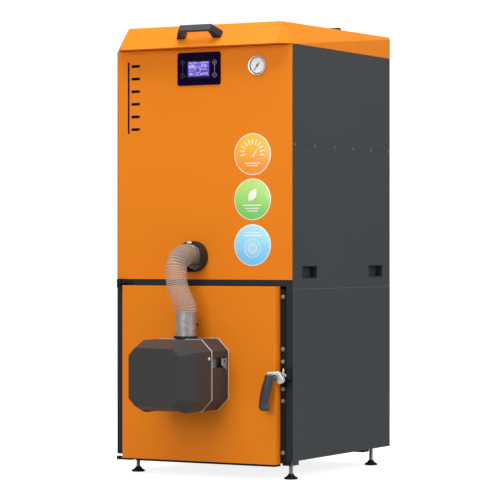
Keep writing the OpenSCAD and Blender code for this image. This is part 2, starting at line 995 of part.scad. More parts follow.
module auger_tube() {
    color("silver") difference() {
        union() {
            bar_y(feed_x, feed_z, feed_front, feed_end, feed_r);
            block(feed_x - spout_half, feed_x + spout_half, spout_front, spout_end,
                feed_z + feed_r - feed_frame_drop, feed_z + feed_r);
            for (y = [saddle_front, saddle_rear])
                block(feed_x - saddle_half, feed_x + saddle_half, y, y + saddle_l, vessel_top, feed_z);
        }
        bar_y(feed_x, feed_z, feed_front + feed_wall, feed_end + over, feed_r - feed_wall);
        bar_y(feed_x, feed_z, feed_front - over, feed_front + feed_wall + over, feed_mouth_r);
        block(feed_x - spout_half + sheet, feed_x + spout_half - sheet, spout_front + sheet,
            spout_end - sheet, feed_z, feed_z + feed_r + over);
    }
}

module flight(length, turns, r) {
    linear_extrude(length, twist = 360 * turns, slices = round(screw_slices_per_turn * turns), $fn = 8)
        translate([0, -screw_t / 2]) square([r, screw_t]);
}

module auger_screw() {
    length = feed_end - feed_wall - screw_front - feed_wall;
    turns = length / screw_pitch;
    color("silver") {
        bar_y(feed_x, feed_z, screw_front, feed_end + shaft_in, screw_shaft_r);
        translate([feed_x, screw_front + length, feed_z]) rotate([90, 0, 0])
            flight(length, turns, screw_r);
    }
}

module auger_motor() {
    y0 = feed_end + seat_gap;
    color("black") difference() {
        union() {
            block(feed_x - gear_w / 2, feed_x + gear_w / 2, y0, y0 + gear_d,
                feed_z - feed_r, feed_z + feed_r);
            bar_x(y0 + gear_d / 2, feed_z, feed_x + gear_w / 2, feed_x + gear_w / 2 + motor_l, motor_r);
        }
        bar_y(feed_x, feed_z, y0 - over, feed_end + shaft_in + over, screw_shaft_r + run_gap);
    }
}

module hose_collar() {
    color("black") difference() {
        bar_y(feed_x, feed_z, -collar_l, 0, collar_r);
        bar_y(feed_x, feed_z, -collar_l - over, over, collar_r - collar_wall);
    }
}

// The hose: a ribbed tube swept along its route

function hose_at(p) = [feed_x + p[0], p[1] - door_proud, burner_z + p[2]];
hose_path = [for (p = hose_points) hose_at(p)];
hose_runs = [for (i = [1:len(hose_path) - 1]) norm(hose_path[i] - hose_path[i - 1])];
function run_sum(i) = i <= 0 ? 0 : hose_runs[i - 1] + run_sum(i - 1);
hose_sums = [for (i = [0:len(hose_path) - 1]) run_sum(i)];
hose_length = hose_sums[len(hose_path) - 1];
function leg_of(s, i = 0) = i >= len(hose_path) - 2 || s <= hose_sums[i + 1] ? i : leg_of(s, i + 1);
function unit(v) = v / norm(v);
function knot_way(i) = i == 0 ? unit(hose_path[1] - hose_path[0])
    : i >= len(hose_path) - 1 ? unit(hose_path[len(hose_path) - 1] - hose_path[len(hose_path) - 2])
    : unit(hose_path[i + 1] - hose_path[i - 1]);
// A smooth curve through the route's points
function hose_point(s) = let (i = leg_of(s), l = hose_runs[i], u = (s - hose_sums[i]) / l,
    a = hose_path[i], b = hose_path[i + 1], ta = knot_way(i) * l, tb = knot_way(i + 1) * l)
    (2 * u ^ 3 - 3 * u ^ 2 + 1) * a + (u ^ 3 - 2 * u ^ 2 + u) * ta
    + (3 * u ^ 2 - 2 * u ^ 3) * b + (u ^ 3 - u ^ 2) * tb;
hose_look = 1;
function hose_way(s) = s <= 0 ? [0, -1, 0] : s >= hose_length ? [0, 0, -1]
    : unit(hose_point(min(s + hose_look, hose_length)) - hose_point(max(s - hose_look, 0)));
function hose_ring(s, r) = let (c = hose_point(s), t = hose_way(s),
    u = unit(cross([1, 0, 0], t)), v = cross(t, u))
    [for (k = [0:hose_sides - 1]) let (a = 360 * (k + 0.5) / hose_sides) c + r * (cos(a) * u + sin(a) * v)];
// A flat-sided ring whose flats keep the bore clear and whose corners stay inside the outer radius
hose_flat = cos(180 / hose_sides);
rib_pitch = hose_length / hose_ribs;
hose_rings = [for (i = [0:hose_ribs - 1], h = [0, 1]) [
    i == 0 && h == 0 ? 0 : i == hose_ribs - 1 && h == 1 ? hose_length
        : rib_pitch * (i + (1 - rib_share) / 2 + rib_share * h),
    h == 0 ? hose_r : hose_r - hose_dip
]];

module pellet_hose() {
    n = hose_sides;
    m = len(hose_rings);
    outer = [for (g = hose_rings) hose_ring(g[0], g[1])];
    inner = [for (g = hose_rings) hose_ring(g[0], hose_bore_r / hose_flat)];
    points = [for (g = outer, p = g) p, for (g = inner, p = g) p];
    side = [for (i = [0:m - 2], k = [0:n - 1]) let (a = i * n + k, b = i * n + (k + 1) % n) each [
        [a, a + n, b + n], [a, b + n, b],
        [m * n + a, m * n + b + n, m * n + a + n], [m * n + a, m * n + b, m * n + b + n]
    ]];
    ends = [for (k = [0:n - 1]) let (b = (k + 1) % n, l = (m - 1) * n) each [
        [k, b, m * n + b], [k, m * n + b, m * n + k],
        [l + k, m * n + l + b, l + b], [l + k, m * n + l + k, m * n + l + b]
    ]];
    color("tan") polyhedron(points = points, faces = concat(side, ends));
}

// Controls

module control_unit() {
    w = glass_w / 2 - control_in;
    h = glass_h / 2 - control_in;
    color("dimgray") block(glass_x - w, glass_x + w, 0, control_d, glass_z - h, glass_z + h);
}

module display_glass() {
    color("black") outward(0, glass_t)
        translate([glass_x, glass_z]) rounded(glass_w, glass_h, glass_corner_r);
}

module gauge_case() {
    color("silver") difference() {
        union() {
            bar_y(gauge_x, gauge_z, -bezel_h, 0, gauge_r);
            bar_y(gauge_x, gauge_z, -fuse, case_d, case_r);
        }
        bar_y(gauge_x, gauge_z, -bezel_h - over, -dial_t, gauge_r - bezel_w);
        bar_y(gauge_x, gauge_z, -bezel_h, spindle_in + over, spindle_r + run_gap);
    }
}

module gauge_dial() {
    color("white") difference() {
        bar_y(gauge_x, gauge_z, -2 * dial_t, -dial_t, dial_r);
        bar_y(gauge_x, gauge_z, -2 * dial_t - over, over, 2 * spindle_r);
    }
}

module gauge_glass() {
    color("lightblue") bar_y(gauge_x, gauge_z, -bezel_h, -bezel_h + lens_t, dial_r);
}

module gauge_needle() {
    back = -2 * dial_t - needle_gap;
    color("black") {
        bar_y(gauge_x, gauge_z, back - needle_t, spindle_in, spindle_r);
        bar_y(gauge_x, gauge_z, back - 2 * needle_t, back, needle_hub_r);
        translate([gauge_x, 0, gauge_z]) rotate([0, needle_turn, 0]) outward(back, needle_t) polygon([
            [-needle_tail_w / 2, -needle_tail], [needle_tail_w / 2, -needle_tail],
            [needle_w / 2, needle_l], [-needle_w / 2, needle_l]
        ]);
    }
}

// Door

module octagon_bar(a, c, y0, y1) {
    translate([door_shift, 0, burner_z]) outward(y1, y1 - y0) polygon(octagon(a, c));
}

module door_tray() {
    x0 = door_shift - half_w + door_margin;
    x1 = door_shift + half_w - door_margin;
    top = rail_z - seam_gap;
    arm_y = pivot_y - arm_d / 2 - seat_gap;
    color("dimgray") difference() {
        block(x0, x1, -door_proud, plate_front, door_z, top);
        block(x0 + sheet, x1 - sheet, -door_proud + sheet, plate_front + over, door_z + sheet, top - sheet);
        bar_y(door_shift, burner_z, -door_proud - over, over, fire_r + fire_hole_gap);
        block(x0 - over, x0 + sheet + over, arm_y, plate_front + over,
            top_eye_z - seat_gap, top_eye_z + arm_h + seat_gap);
        block(x0 - over, arm_end + seat_gap, arm_y, plate_front + over,
            door_z - over, low_eye_z + low_eye_h + seat_gap);
    }
}

module door_plate() {
    plate_half = half_w - sheet - post_w - door_plate_gap;
    color("black") {
        difference() {
            block(-plate_half, plate_half, plate_front, plate_front + door_plate_t,
                plate_bottom, plate_top);
            bar_y(door_shift, burner_z, plate_front - over, plate_front + door_plate_t + over,
                fire_r + fire_hole_gap);
        }
        bar_y(latch_x, latch_z, plate_front - stud_l, plate_front + fuse, stud_r);
    }
}

module door_insulation() {
    y0 = plate_front + door_plate_t;
    color("ivory") difference() {
        block(door_shift - board_half_w, door_shift + board_half_w, y0, board_end, board_z, board_top);
        bar_y(door_shift, burner_z, y0 - over, board_end + over, fire_r + fire_hole_gap);
    }
}

module door_gasket() {
    y0 = plate_front + door_plate_t;
    color("white") difference() {
        block(-rope_half_w, rope_half_w, y0, vessel_front - seat_gap, rope_z, rope_top);
        block(-rope_half_w + rope_w, rope_half_w - rope_w, y0 - over, vessel_front + over,
            rope_z + rope_w, rope_top - rope_w);
    }
}

module door_bolts() {
    color("silver") for (share = bolt_shares)
        translate([bolt_x, plate_front, plate_bottom + share * (plate_top - plate_bottom)])
            rotate([90, 0, 0]) cylinder(d = bolt_head_d, h = bolt_h, $fn = 6);
}

module hinge_arm(eye_z, eye_h, arm_z, leaf_z0, leaf_z1) {
    difference() {
        union() {
            bar_z(pivot_x, pivot_y, eye_z, eye_z + eye_h, eye_r);
            block(pivot_x, arm_end, pivot_y - arm_d / 2, pivot_y + arm_d / 2, arm_z, arm_z + arm_h);
            block(arm_end - arm_leaf, arm_end, pivot_y - arm_d / 2, plate_front, leaf_z0, leaf_z1);
        }
        bar_z(pivot_x, pivot_y, eye_z - over, eye_z + eye_h + over, hinge_pin_r + run_gap);
    }
}

module door_hinge_arms() {
    low_leaf = plate_bottom + arm_leaf_h;
    color("black") {
        hinge_arm(top_eye_z, top_eye_h, top_eye_z, plate_top - arm_leaf_h, top_eye_z + arm_h);
        hinge_arm(low_eye_z, low_eye_h, low_eye_z, low_eye_z, low_leaf);
    }
}

module door_hinge_pins() {
    knuckle_z = top_eye_z + top_eye_h + seat_gap;
    low_top = low_eye_z - seat_gap;
    color("black") {
        // Upper bracket, bolted to the cross rail
        bar_z(pivot_x, pivot_y, knuckle_z, knuckle_z + top_knuckle_h, eye_r);
        bar_z(pivot_x, pivot_y, top_eye_z, knuckle_z + fuse, hinge_pin_r);
        block(pivot_x, bracket_x - bracket_w + eye_r, pivot_y - arm_d / 2, 0,
            knuckle_z, knuckle_z + top_plate_t);
        block(bracket_x - bracket_w, bracket_x, -bracket_t, 0, bracket_z, bracket_z + bracket_h);
        for (i = [0, 1]) bar_y(bracket_x - bracket_bolt_r - bracket_bolt_edge - i * bracket_bolt_step,
            bracket_z + bracket_h / 2, -bracket_t - bracket_bolt_h, -bracket_t, bracket_bolt_r);
        // Lower bracket, on the end of the front base rail
        bar_z(pivot_x, pivot_y, low_knuckle_z, low_top, eye_r);
        bar_z(pivot_x, pivot_y, low_top - fuse, low_eye_z + low_eye_h, hinge_pin_r);
        block(pivot_x, -front_rail_half, pivot_y - arm_d / 2, base_front + front_rail_d,
            low_knuckle_z, low_knuckle_z + low_plate_t);
    }
}

// Latch

module latch_lever() {
    near = -door_proud - latch_boss_gap;
    far = near - latch_boss_l;
    cap_z = grip_top_z + cap_gap;
    color("silver") difference() {
        union() {
            bar_y(latch_x, latch_z, near - fuse, -hub_near, hub_r);
            hull() {
                bar_y(latch_x + latch_boss_out, latch_z, far, near, latch_boss_r);
                bar_y(latch_x + lobe_out, latch_z - lobe_drop, far, near, lobe_r);
            }
            block(latch_x, finger_end, finger_y - finger_d / 2, finger_y + finger_d / 2,
                latch_z - finger_h / 2, latch_z + finger_h / 2);
            bar_z(tee_x + tee_r, finger_y, latch_z, latch_z + tee_h, tee_r);
            hull() {
                bar_y(latch_x + latch_boss_out, latch_z + lever_rise, far, far + lever_foot, lever_r);
                bar_z(grip_x, grip_y, cap_z, cap_z + cap_h, cap_r);
            }
            bar_z(grip_x, grip_y, grip_top_z - tang_l, cap_z + fuse, tang_r);
        }
        bar_y(latch_x, latch_z, plate_front - stud_l - over, over, stud_r + run_gap);
    }
}

module grip_ball(x, y, z, r) {
    translate([x, y, z]) sphere(r = r, $fn = 20);
}

module latch_grip() {
    mid_x = (grip_x + grip_foot_x) / 2 - grip_bow;
    mid_z = (grip_top_z + grip_foot_z) / 2;
    ear_z = grip_top_z - ear_drop;
    color("black") difference() {
        union() {
            hull() {
                bar_z(grip_x, grip_y, grip_top_z - grip_head, grip_top_z, grip_r);
                grip_ball(mid_x, grip_y, mid_z, grip_mid_r);
            }
            hull() {
                grip_ball(mid_x, grip_y, mid_z, grip_mid_r);
                grip_ball(grip_foot_x, grip_y, grip_foot_z, grip_foot_r);
            }
            hull() {
                grip_ball(grip_foot_x, grip_y, grip_foot_z, grip_foot_r);
                grip_ball(grip_foot_x + heel_run, grip_y, grip_foot_z - heel_drop, heel_r);
            }
            // Ear at the top, towards the lever's boss
            hull() {
                grip_ball(grip_x, grip_y, ear_z, ear_root_r);
                grip_ball(grip_x + ear_run, grip_y + ear_back, ear_z, ear_r);
            }
        }
        bar_z(grip_x, grip_y, grip_top_z - tang_l - over, grip_top_z + over, tang_r + run_gap);
    }
}

module latch_keeper() {
    tooth_x = finger_end + tooth_gap;
    color("black") {
        block(keeper_x, tooth_x + tooth_w, -keeper_t, 0, latch_z - keeper_h / 2, latch_z + keeper_h / 2);
        block(tooth_x, tooth_x + tooth_w, -tooth_d, 0, latch_z - tooth_h / 2, latch_z + tooth_h / 2);
    }
}

// Burner

module burner_housing() {
    front = -door_proud - housing_d;
    inner = burner_a - shell_t;
    slip = inner - cover_gap;
    screw_y = front + thumb_y;
    axis_y = spigot_y - door_proud;
    color("dimgray") difference() {
        union() {
            difference() {
                octagon_bar(burner_a, burner_cut, front, -door_proud);
                octagon_bar(inner, burner_cut, front - over, -door_proud - shell_t);
            }
            difference() {
                octagon_bar(burner_a - rim_set, burner_cut, front, front + rim_t);
                octagon_bar(burner_a - rim_w, burner_cut, front - over, front + rim_t + over);
            }
            octagon_bar(slip, burner_cut, front - mount_t, front);
            block(door_shift + slip - tongue_t, door_shift + slip, front - tongue_l, front - mount_t + fuse,
                burner_z + thumb_z - tongue_h / 2, burner_z + thumb_z + tongue_h / 2);
        }
        bar_y(door_shift, burner_z, -door_proud - shell_t - over, -door_proud + over, fire_r + seat_gap);
        bar_z(door_shift, axis_y, burner_z + inner - over, burner_z + burner_a + over, spigot_r + seat_gap);
        bar_y(door_shift, burner_z, front - mount_t - over, front + over,
            stoker_shaft_r + shaft_play);
        bar_y(door_shift + blower_x, burner_z - blower_drop, front - mount_t - over, front + over,
            blower_mouth_r);
        block(door_shift + inner - over, door_shift + burner_a + over, front + rim_t, front + cut_l,
            burner_z + cut_z - cut_h / 2, burner_z + cut_z + cut_h / 2);
        block(door_shift + slip - tongue_t - over, door_shift + slip + over, front - tongue_l - over, screw_y,
            burner_z + thumb_z - thumb_shank_r - seat_gap, burner_z + thumb_z + thumb_shank_r + seat_gap);
        bar_x(screw_y, burner_z + thumb_z, door_shift + slip - tongue_t - over, door_shift + slip + over,
            thumb_shank_r + seat_gap);
    }
}

module burner_tube() {
    axis_y = spigot_y - door_proud;
    color("silver") difference() {
        union() {
            difference() {
                bar_y(door_shift, burner_z, tube_front, tube_in, fire_r);
                bar_y(door_shift, burner_z, tube_front + tube_wall, tube_in + over, fire_r - tube_wall);
            }
            bar_y(door_shift, burner_z, feed_tube_front, feed_tube_end, feed_tube_r);
            block(door_shift - inlet_half, door_shift + inlet_half, axis_y - inlet_half, axis_y + inlet_half,
                burner_z, burner_z + spigot_foot);
        }
        bar_y(door_shift, burner_z, feed_tube_front + feed_tube_wall, feed_tube_end + over,
            feed_tube_r - feed_tube_wall);
        bar_y(door_shift, burner_z, feed_tube_front - over, feed_tube_front + feed_tube_wall + over,
            stoker_shaft_r + shaft_play);
        bar_z(door_shift, axis_y, burner_z, burner_z + spigot_foot + over, spigot_r - spigot_t);
        bar_y(door_shift, burner_z - igniter_drop, tube_front - over, tube_front + tube_wall + over,
            igniter_r + seat_gap);
    }
}

module igniter() {
    color("ivory") {
        bar_y(door_shift, burner_z - igniter_drop, tube_front - fuse, tube_front + igniter_l, igniter_r);
        bar_y(door_shift, burner_z - igniter_drop, tube_front - igniter_cap_l, tube_front - seat_gap,
            igniter_cap_r);
    }
}

module pellet_spigot() {
    axis_y = spigot_y - door_proud;
    color("silver") difference() {
        bar_z(door_shift, axis_y, burner_z + spigot_foot, burner_z + spigot_top, spigot_r);
        bar_z(door_shift, axis_y, burner_z + spigot_foot - over, burner_z + spigot_top + over,
            spigot_r - spigot_t);
    }
}

module hose_clamps() {
    axis_y = spigot_y - door_proud;
    y0 = clamp_y - door_proud;
    z = burner_z + hose_points[0][2];
    color("black") {
        difference() {
            bar_z(door_shift, axis_y, burner_z + burner_a, burner_z + burner_a + spigot_ring_h,
                spigot_ring_r);
            bar_z(door_shift, axis_y, burner_z + burner_a - over, burner_z + burner_a + spigot_ring_h + over,
                spigot_r + seat_gap);
        }
        difference() {
            union() {
                bar_y(feed_x, z, y0 - clamp_w / 2, y0 + clamp_w / 2, hose_r + seat_gap + clamp_t);
                translate([feed_x + clamp_box[1] / 2, y0, z + hose_r + clamp_box[2] / 2])
                    cube(clamp_box, center = true);
            }
            bar_y(feed_x, z, y0 - clamp_w, y0 + clamp_w, hose_r + seat_gap);
        }
    }
}

module stoker_screw() {
    y0 = feed_tube_front + feed_tube_wall + stoker_run;
    y1 = feed_tube_end - stoker_run;
    turns = (y1 - y0) / stoker_pitch;
    color("silver") {
        bar_y(door_shift, burner_z, -door_proud - housing_d - mount_t - shaft_in, y1, stoker_shaft_r);
        translate([door_shift, y1, burner_z]) rotate([90, 0, 0])
            flight(y1 - y0, turns, stoker_r);
    }
}

module stoker_motor() {
    y1 = -door_proud - housing_d - mount_t;
    w = stoker_motor_w / 2;
    color("black") difference() {
        block(door_shift - w, door_shift + w, y1 - stoker_motor_l, y1, burner_z - w, burner_z + w);
        bar_y(door_shift, burner_z, y1 - shaft_in - over, y1 + over, stoker_shaft_r + run_gap);
    }
}

module blower_housing() {
    x = door_shift + blower_x;
    z = burner_z - blower_drop;
    y1 = -door_proud - housing_d - mount_t;
    y0 = y1 - blower_d;
    color("black") difference() {
        union() {
            bar_y(x, z, y0, y1, blower_r);
            bar_y(x, z, y0 - blower_motor_l, y0 + fuse, blower_motor_r);
        }
        bar_y(x, z, y0 + blower_wall, y1 - blower_wall, blower_r - blower_wall);
        bar_y(x, z, y1 - blower_wall - over, y1 + over, blower_mouth_r);
        bar_y(x, z, y0 - blower_shaft_in - over, y0 + blower_wall + over, blower_shaft_r + run_gap);
    }
}

module blower_wheel() {
    y1 = -door_proud - housing_d - mount_t - blower_wall - wheel_play;
    y0 = -door_proud - housing_d - mount_t - blower_d + blower_wall + wheel_play;
    color("silver") translate([door_shift + blower_x, 0, burner_z - blower_drop]) {
        bar_y(0, 0, y0, y0 + wheel_t, wheel_r);
        bar_y(0, 0, y0 - wheel_play - blower_wall - blower_shaft_in, y0 + wheel_t, blower_shaft_r);
        bar_y(0, 0, y0, y1, wheel_hub_r);
        for (i = [0:wheel_blades - 1]) rotate([0, i * 360 / wheel_blades, 0])
            block(2 * wheel_r / 3, wheel_r - blade_set, y0, y1, -wheel_t / 2, wheel_t / 2);
    }
}

module cover_nose(d, y0, y1) {
    hull() {
        octagon_bar(burner_a - d, burner_cut, y0 - slab, y0);
        octagon_bar(nose_a - d, nose_cut, y1, y1 + slab);
    }
}

module burner_cover() {
    rear = -door_proud - housing_d - seam_gap;
    bend = -door_proud - housing_d - cover_d;
    tip = bend - nose_d;
    inner = burner_a - shell_t;
    intake = burner_a - burner_cut - intake_side;
    color("dimgray") difference() {
        union() {
            octagon_bar(burner_a, burner_cut, bend, rear);
            cover_nose(0, bend, tip);
        }
        // Air intake in the underside
        block(door_shift - intake, door_shift + intake, bend - intake_in, rear - intake_rim,
            burner_z - burner_a - over, burner_z - burner_a + intake_h);
        octagon_bar(inner, burner_cut, bend - over, rear + over);
        cover_nose(shell_t, bend, tip + shell_t);
        bar_x(-door_proud - housing_d + thumb_y, burner_z + thumb_z, door_shift + inner - over,
            door_shift + burner_a + over, thumb_shank_r + run_gap);
    }
}

module cover_screw() {
    y = -door_proud - housing_d + thumb_y;
    face = door_shift + burner_a;
    color("black") {
        bar_x(y, burner_z + thumb_z, face, face + thumb_l, thumb_r);
        bar_x(y, burner_z + thumb_z, face - thumb_in, face + fuse, thumb_shank_r);
    }
}

// Feet

module foot() {
    seat_z = pad_flat_h + rod_seat;
    color("black") difference() {
        union() {
            cylinder(r = pad_r, h = pad_flat_h);
            translate([0, 0, pad_flat_h]) cylinder(r1 = pad_r, r2 = pad_neck_r, h = pad_h - pad_flat_h);
        }
        translate([0, 0, seat_z]) cylinder(r = rod_r + run_gap, h = pad_h);
    }
    color("silver") translate([0, 0, seat_z + run_gap]) cylinder(r = rod_r, h = rod_top - seat_z);
}

module foot_at(side, y) {
    translate([side * (half_w - foot_in_x), y, 0]) foot();
}

module foot_front_left() { foot_at(-1, foot_in_y); }
module foot_front_right() { foot_at(1, foot_in_y); }
module foot_rear_left() { foot_at(-1, body_d - foot_in_y); }
module foot_rear_right() { foot_at(1, body_d - foot_in_y); }

module place() {
    translate([0, front_y, 0]) children();
}

place() base_frame();
place() front_frame();
place() front_panel();
place() side_left_lower();
place() side_left_middle();
place() side_left_upper();
place() side_right_lower();
place() side_right_middle();
place() side_right_upper();
place() grip_cups();
place() rear_panel();
place() rear_hood();
place() boiler_body();
place() exchanger_tubes();
place() exchanger_hatch();
place() flue_outlet();
place() water_pipes();
place() ash_pan();
place() hopper();
place() auger_tube();
place() auger_motor();
place() hose_collar();
place() control_unit();
place() display_glass();
place() gauge_case();
place() gauge_dial();
place() gauge_glass();
place() latch_keeper();
place() door_hinge_pins();
place() lid_hinge_bases();
place() lid();
place() lid_handle();
place() lid_hinge_straps();
place() lid_gasket();
place() door_tray();
place() door_plate();
place() door_insulation();
place() door_gasket();
place() door_bolts();
place() door_hinge_arms();
place() burner_housing();
place() burner_tube();
place() igniter();
place() blower_housing();
place() stoker_motor();
place() pellet_spigot();
place() pellet_hose();
place() hose_clamps();
place() blower_wheel();
place() stoker_screw();
place() burner_cover();
place() cover_screw();
place() latch_lever();
place() latch_grip();
place() auger_screw();
place() gauge_needle();
place() foot_front_left();
place() foot_front_right();
place() foot_rear_left();
place() foot_rear_right();
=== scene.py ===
# %% [markdown]
# # A pellet boiler, dressed around its CAD model
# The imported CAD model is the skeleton: it fixes every size and every joint.
# This script gives it the looks of the real boiler, which are folded and powder-coated sheet,
# a ribbed clear hose, a chromed lever with a hard moulded grip, a lit screen and a thermometer.
# Each step says first what the piece is, and why it is made the way it is.

# %% Load the frame
import json
import math

import bmesh
import bpy
from mathutils import Matrix, Vector

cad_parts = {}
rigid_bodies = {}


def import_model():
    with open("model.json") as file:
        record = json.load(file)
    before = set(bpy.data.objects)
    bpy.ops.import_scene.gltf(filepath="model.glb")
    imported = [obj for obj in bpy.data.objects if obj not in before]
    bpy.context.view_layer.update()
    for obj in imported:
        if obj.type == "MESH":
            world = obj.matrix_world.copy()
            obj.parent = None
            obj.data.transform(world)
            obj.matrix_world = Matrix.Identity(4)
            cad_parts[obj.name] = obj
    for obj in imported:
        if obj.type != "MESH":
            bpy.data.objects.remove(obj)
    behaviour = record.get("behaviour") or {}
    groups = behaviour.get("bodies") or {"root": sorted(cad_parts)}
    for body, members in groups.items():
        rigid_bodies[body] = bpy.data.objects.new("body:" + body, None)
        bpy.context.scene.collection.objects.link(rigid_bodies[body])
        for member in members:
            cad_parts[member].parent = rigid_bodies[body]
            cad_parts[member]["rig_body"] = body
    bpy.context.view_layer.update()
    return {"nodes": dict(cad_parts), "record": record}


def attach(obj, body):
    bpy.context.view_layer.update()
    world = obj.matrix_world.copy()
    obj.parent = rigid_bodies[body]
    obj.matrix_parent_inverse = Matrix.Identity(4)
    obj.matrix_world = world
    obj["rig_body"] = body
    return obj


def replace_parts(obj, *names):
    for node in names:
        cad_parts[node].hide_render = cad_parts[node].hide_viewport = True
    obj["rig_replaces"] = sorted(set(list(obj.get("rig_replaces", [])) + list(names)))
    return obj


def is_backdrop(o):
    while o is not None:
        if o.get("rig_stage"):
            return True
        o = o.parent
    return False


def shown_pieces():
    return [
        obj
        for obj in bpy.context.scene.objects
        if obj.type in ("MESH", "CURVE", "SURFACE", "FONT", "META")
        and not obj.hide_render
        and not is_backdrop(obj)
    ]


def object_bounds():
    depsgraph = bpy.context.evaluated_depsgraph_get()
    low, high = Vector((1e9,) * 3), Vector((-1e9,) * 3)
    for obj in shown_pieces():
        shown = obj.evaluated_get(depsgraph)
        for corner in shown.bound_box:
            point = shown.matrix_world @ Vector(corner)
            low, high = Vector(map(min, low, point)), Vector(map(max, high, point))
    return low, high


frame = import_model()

nodes = frame["nodes"]
slot_of = {part["node"]: part["material_slot"] for part in frame["record"]["subparts"]}

# %% [markdown]
# ## Measuring as the drawing does
# The CAD source counts in millimetres, with y from the front panel's face.
# Working in the same numbers keeps the two models comparable, so one helper turns them into metres.
# ORIGIN is the frame's own origin in those numbers, for small parts that are made there and then placed.

# %% Points and colours
FRONT_Y = -231
MM = 0.001
ORIGIN = (0, -FRONT_Y, 0)


def at(x, y, z):
    """A point in metres from millimetres, with y counted from the front panel's face."""
    return Vector((x, y + FRONT_Y, z)) * MM


def rgb(red, green, blue):
    """A colour as a screen shows it, 0 to 255, in the linear values that a shader needs."""
    parts = [c / 255 for c in (red, green, blue)]
    return (*(c / 12.92 if c <= 0.04045 else ((c + 0.055) / 1.055) ** 2.4 for c in parts), 1.0)


print("the hose enters the panel at", tuple(round(c, 3) for c in at(-30, 0, 652)))

# %% [markdown]
# ## Writing node trees as Python
# Node trees are usually wired by hand. Here a small class wraps one socket and overloads
# the operators, so that a formula such as 1 - mask adds its own Math nodes.
# One method makes every other node, for materials and for Geometry Nodes alike.

# %% Sockets with arithmetic


class Wire:
    """The output of a node. Arithmetic on it adds Math nodes to the same tree."""

    def __init__(self, graph, socket):
        self.graph, self.socket = graph, socket

    def maths(self, operation, *values):
        """A Math node on the values, or on this output alone where none are given."""
        sockets = dict(enumerate(values or (self,)))
        return self.graph.add("ShaderNodeMath", {"operation": operation}, sockets)

    def __add__(self, other):
        return self.maths("ADD", self, other)

    def __sub__(self, other):
        return self.maths("SUBTRACT", self, other)

    def __rsub__(self, other):
        return self.maths("SUBTRACT", other, self)

    def __mul__(self, other):
        return self.maths("MULTIPLY", self, other)

    def __truediv__(self, other):
        return self.maths("DIVIDE", self, other)

    def __pow__(self, other):
        return self.maths("POWER", self, other)

    def __lt__(self, other):
        return self.maths("LESS_THAN", self, other)

    def __gt__(self, other):
        return self.maths("GREATER_THAN", self, other)

    __radd__ = __add__
    __rmul__ = __mul__


class Graph:
    """A node tree that is written by calls."""

    def __init__(self, tree):
        self.tree = tree

    def add(self, kind, settings=None, sockets=None, out=0):
        """Adds a node: its settings first, then what its sockets hold or are wired to."""
        node = self.tree.nodes.new(kind)
        for name, value in (settings or {}).items():
            if name == "stops":
                self.set_ramp(node.color_ramp, value)
            else:
                setattr(node, name, value)
        for name, value in (sockets or {}).items():
            self.feed(node.inputs[name], value)
        return Wire(self, node.outputs[out])

    def feed(self, socket, value):
        """Wires a socket to another node's output, or sets its value."""
        if isinstance(value, Wire):
            self.tree.links.new(value.socket, socket)
        else:
            socket.default_value = value

    def set_ramp(self, ramp, stops):
        """Gives a colour ramp its stops. A new ramp has two, so one goes first."""
        ramp.elements.remove(ramp.elements[1])
        ramp.elements[0].position, ramp.elements[0].color = stops[0]
        for place, colour in stops[1:]:
            ramp.elements.new(place).color = colour


print("tree writers ready")

# %% [markdown]
# ## A material that starts from one shader
# A real finish is one base with small disturbances: a tone that drifts, a grain, a relief.
# A material could be a stack of shaders, but one Principled shader exports cleanly,
# so all the variety goes into that one shader's sockets.

# %% The material writer


class Finish(Graph):
    """A material whose tree ends in one Principled shader.

    The keywords are sockets that are the same all over, such as Metallic or Coat_Weight.
    """

    def __init__(self, name, colour, roughness, **flat):
        self.material = bpy.data.materials.new(name)
        self.material.use_nodes = True
        super().__init__(self.material.node_tree)
        self.shader = self.tree.nodes["Principled BSDF"]
        self.place = self.add("ShaderNodeTexCoord", out="Object")
        self.put("Base Color", colour)
        self.put("Roughness", roughness)
        for socket, value in flat.items():
            self.put(socket.replace("_", " "), value)
        self.material.diffuse_color = colour

    def put(self, socket, value):
        """Feeds one socket of the shader, by its name."""
        self.feed(self.shader.inputs[socket], value)

    def noise(self, scale, detail=2.0, vector=None, out=0):
        """A cloudy pattern from 0 to 1, with that many lumps in a metre."""
        sockets = {"Vector": vector or self.place, "Scale": scale, "Detail": detail}
        return self.add("ShaderNodeTexNoise", None, sockets, out)

    def stretched(self, x, y, z):
        """The place, scaled apart on each axis, for grain that runs one way."""
        return self.add("ShaderNodeMapping", None, {"Vector": self.place, "Scale": (x, y, z)})

    def mix(self, factor, a, b, mode="MIX"):
        """Colour a where the factor is 0, colour b where it is 1."""
        settings = {"data_type": "RGBA", "blend_type": mode}
        return self.add("ShaderNodeMix", settings, {0: factor, 6: a, 7: b}, out=2)

    def window(self, value, low, high):
        """0 below low, 1 above high, smooth between."""
        settings = {"interpolation_type": "SMOOTHSTEP"}
        return self.add("ShaderNodeMapRange", settings, {"Value": value, 1: low, 2: high})

    def relief(self, height, depth_mm):
        """Bends the normal by a height from 0 to 1, as if the surface rose that many mm."""
        self.put("Normal", self.add("ShaderNodeBump", None, {
            "Strength": 1.0, "Distance": depth_mm * MM, "Height": height}))

    def axis(self, name):
        """The place along X, Y or Z in metres."""
        return self.add("ShaderNodeSeparateXYZ", None, {"Vector": self.place}, out=name)

    def laid(self, name):
        """What a sweep has laid down along its tube under that name."""
        return self.add("ShaderNodeAttribute", {"attribute_name": name}, out="Fac")


def shade(colour, factor):
    """The same colour, lighter above 1 and darker below."""
    return (*(min(1.0, c * factor) for c in colour[:3]), 1.0)


print("material writer ready")

# %% [markdown]
# ## Powder coat
# The casing is sheet steel with baked powder: satin, with a slight orange peel and a very fine grain.
# A picture of paint would tile, and a flat colour looks like plastic. Two noises do better:
# a broad one for tone and gloss, and a fine one for the relief that breaks up reflections.

# %% Powder-coated finishes


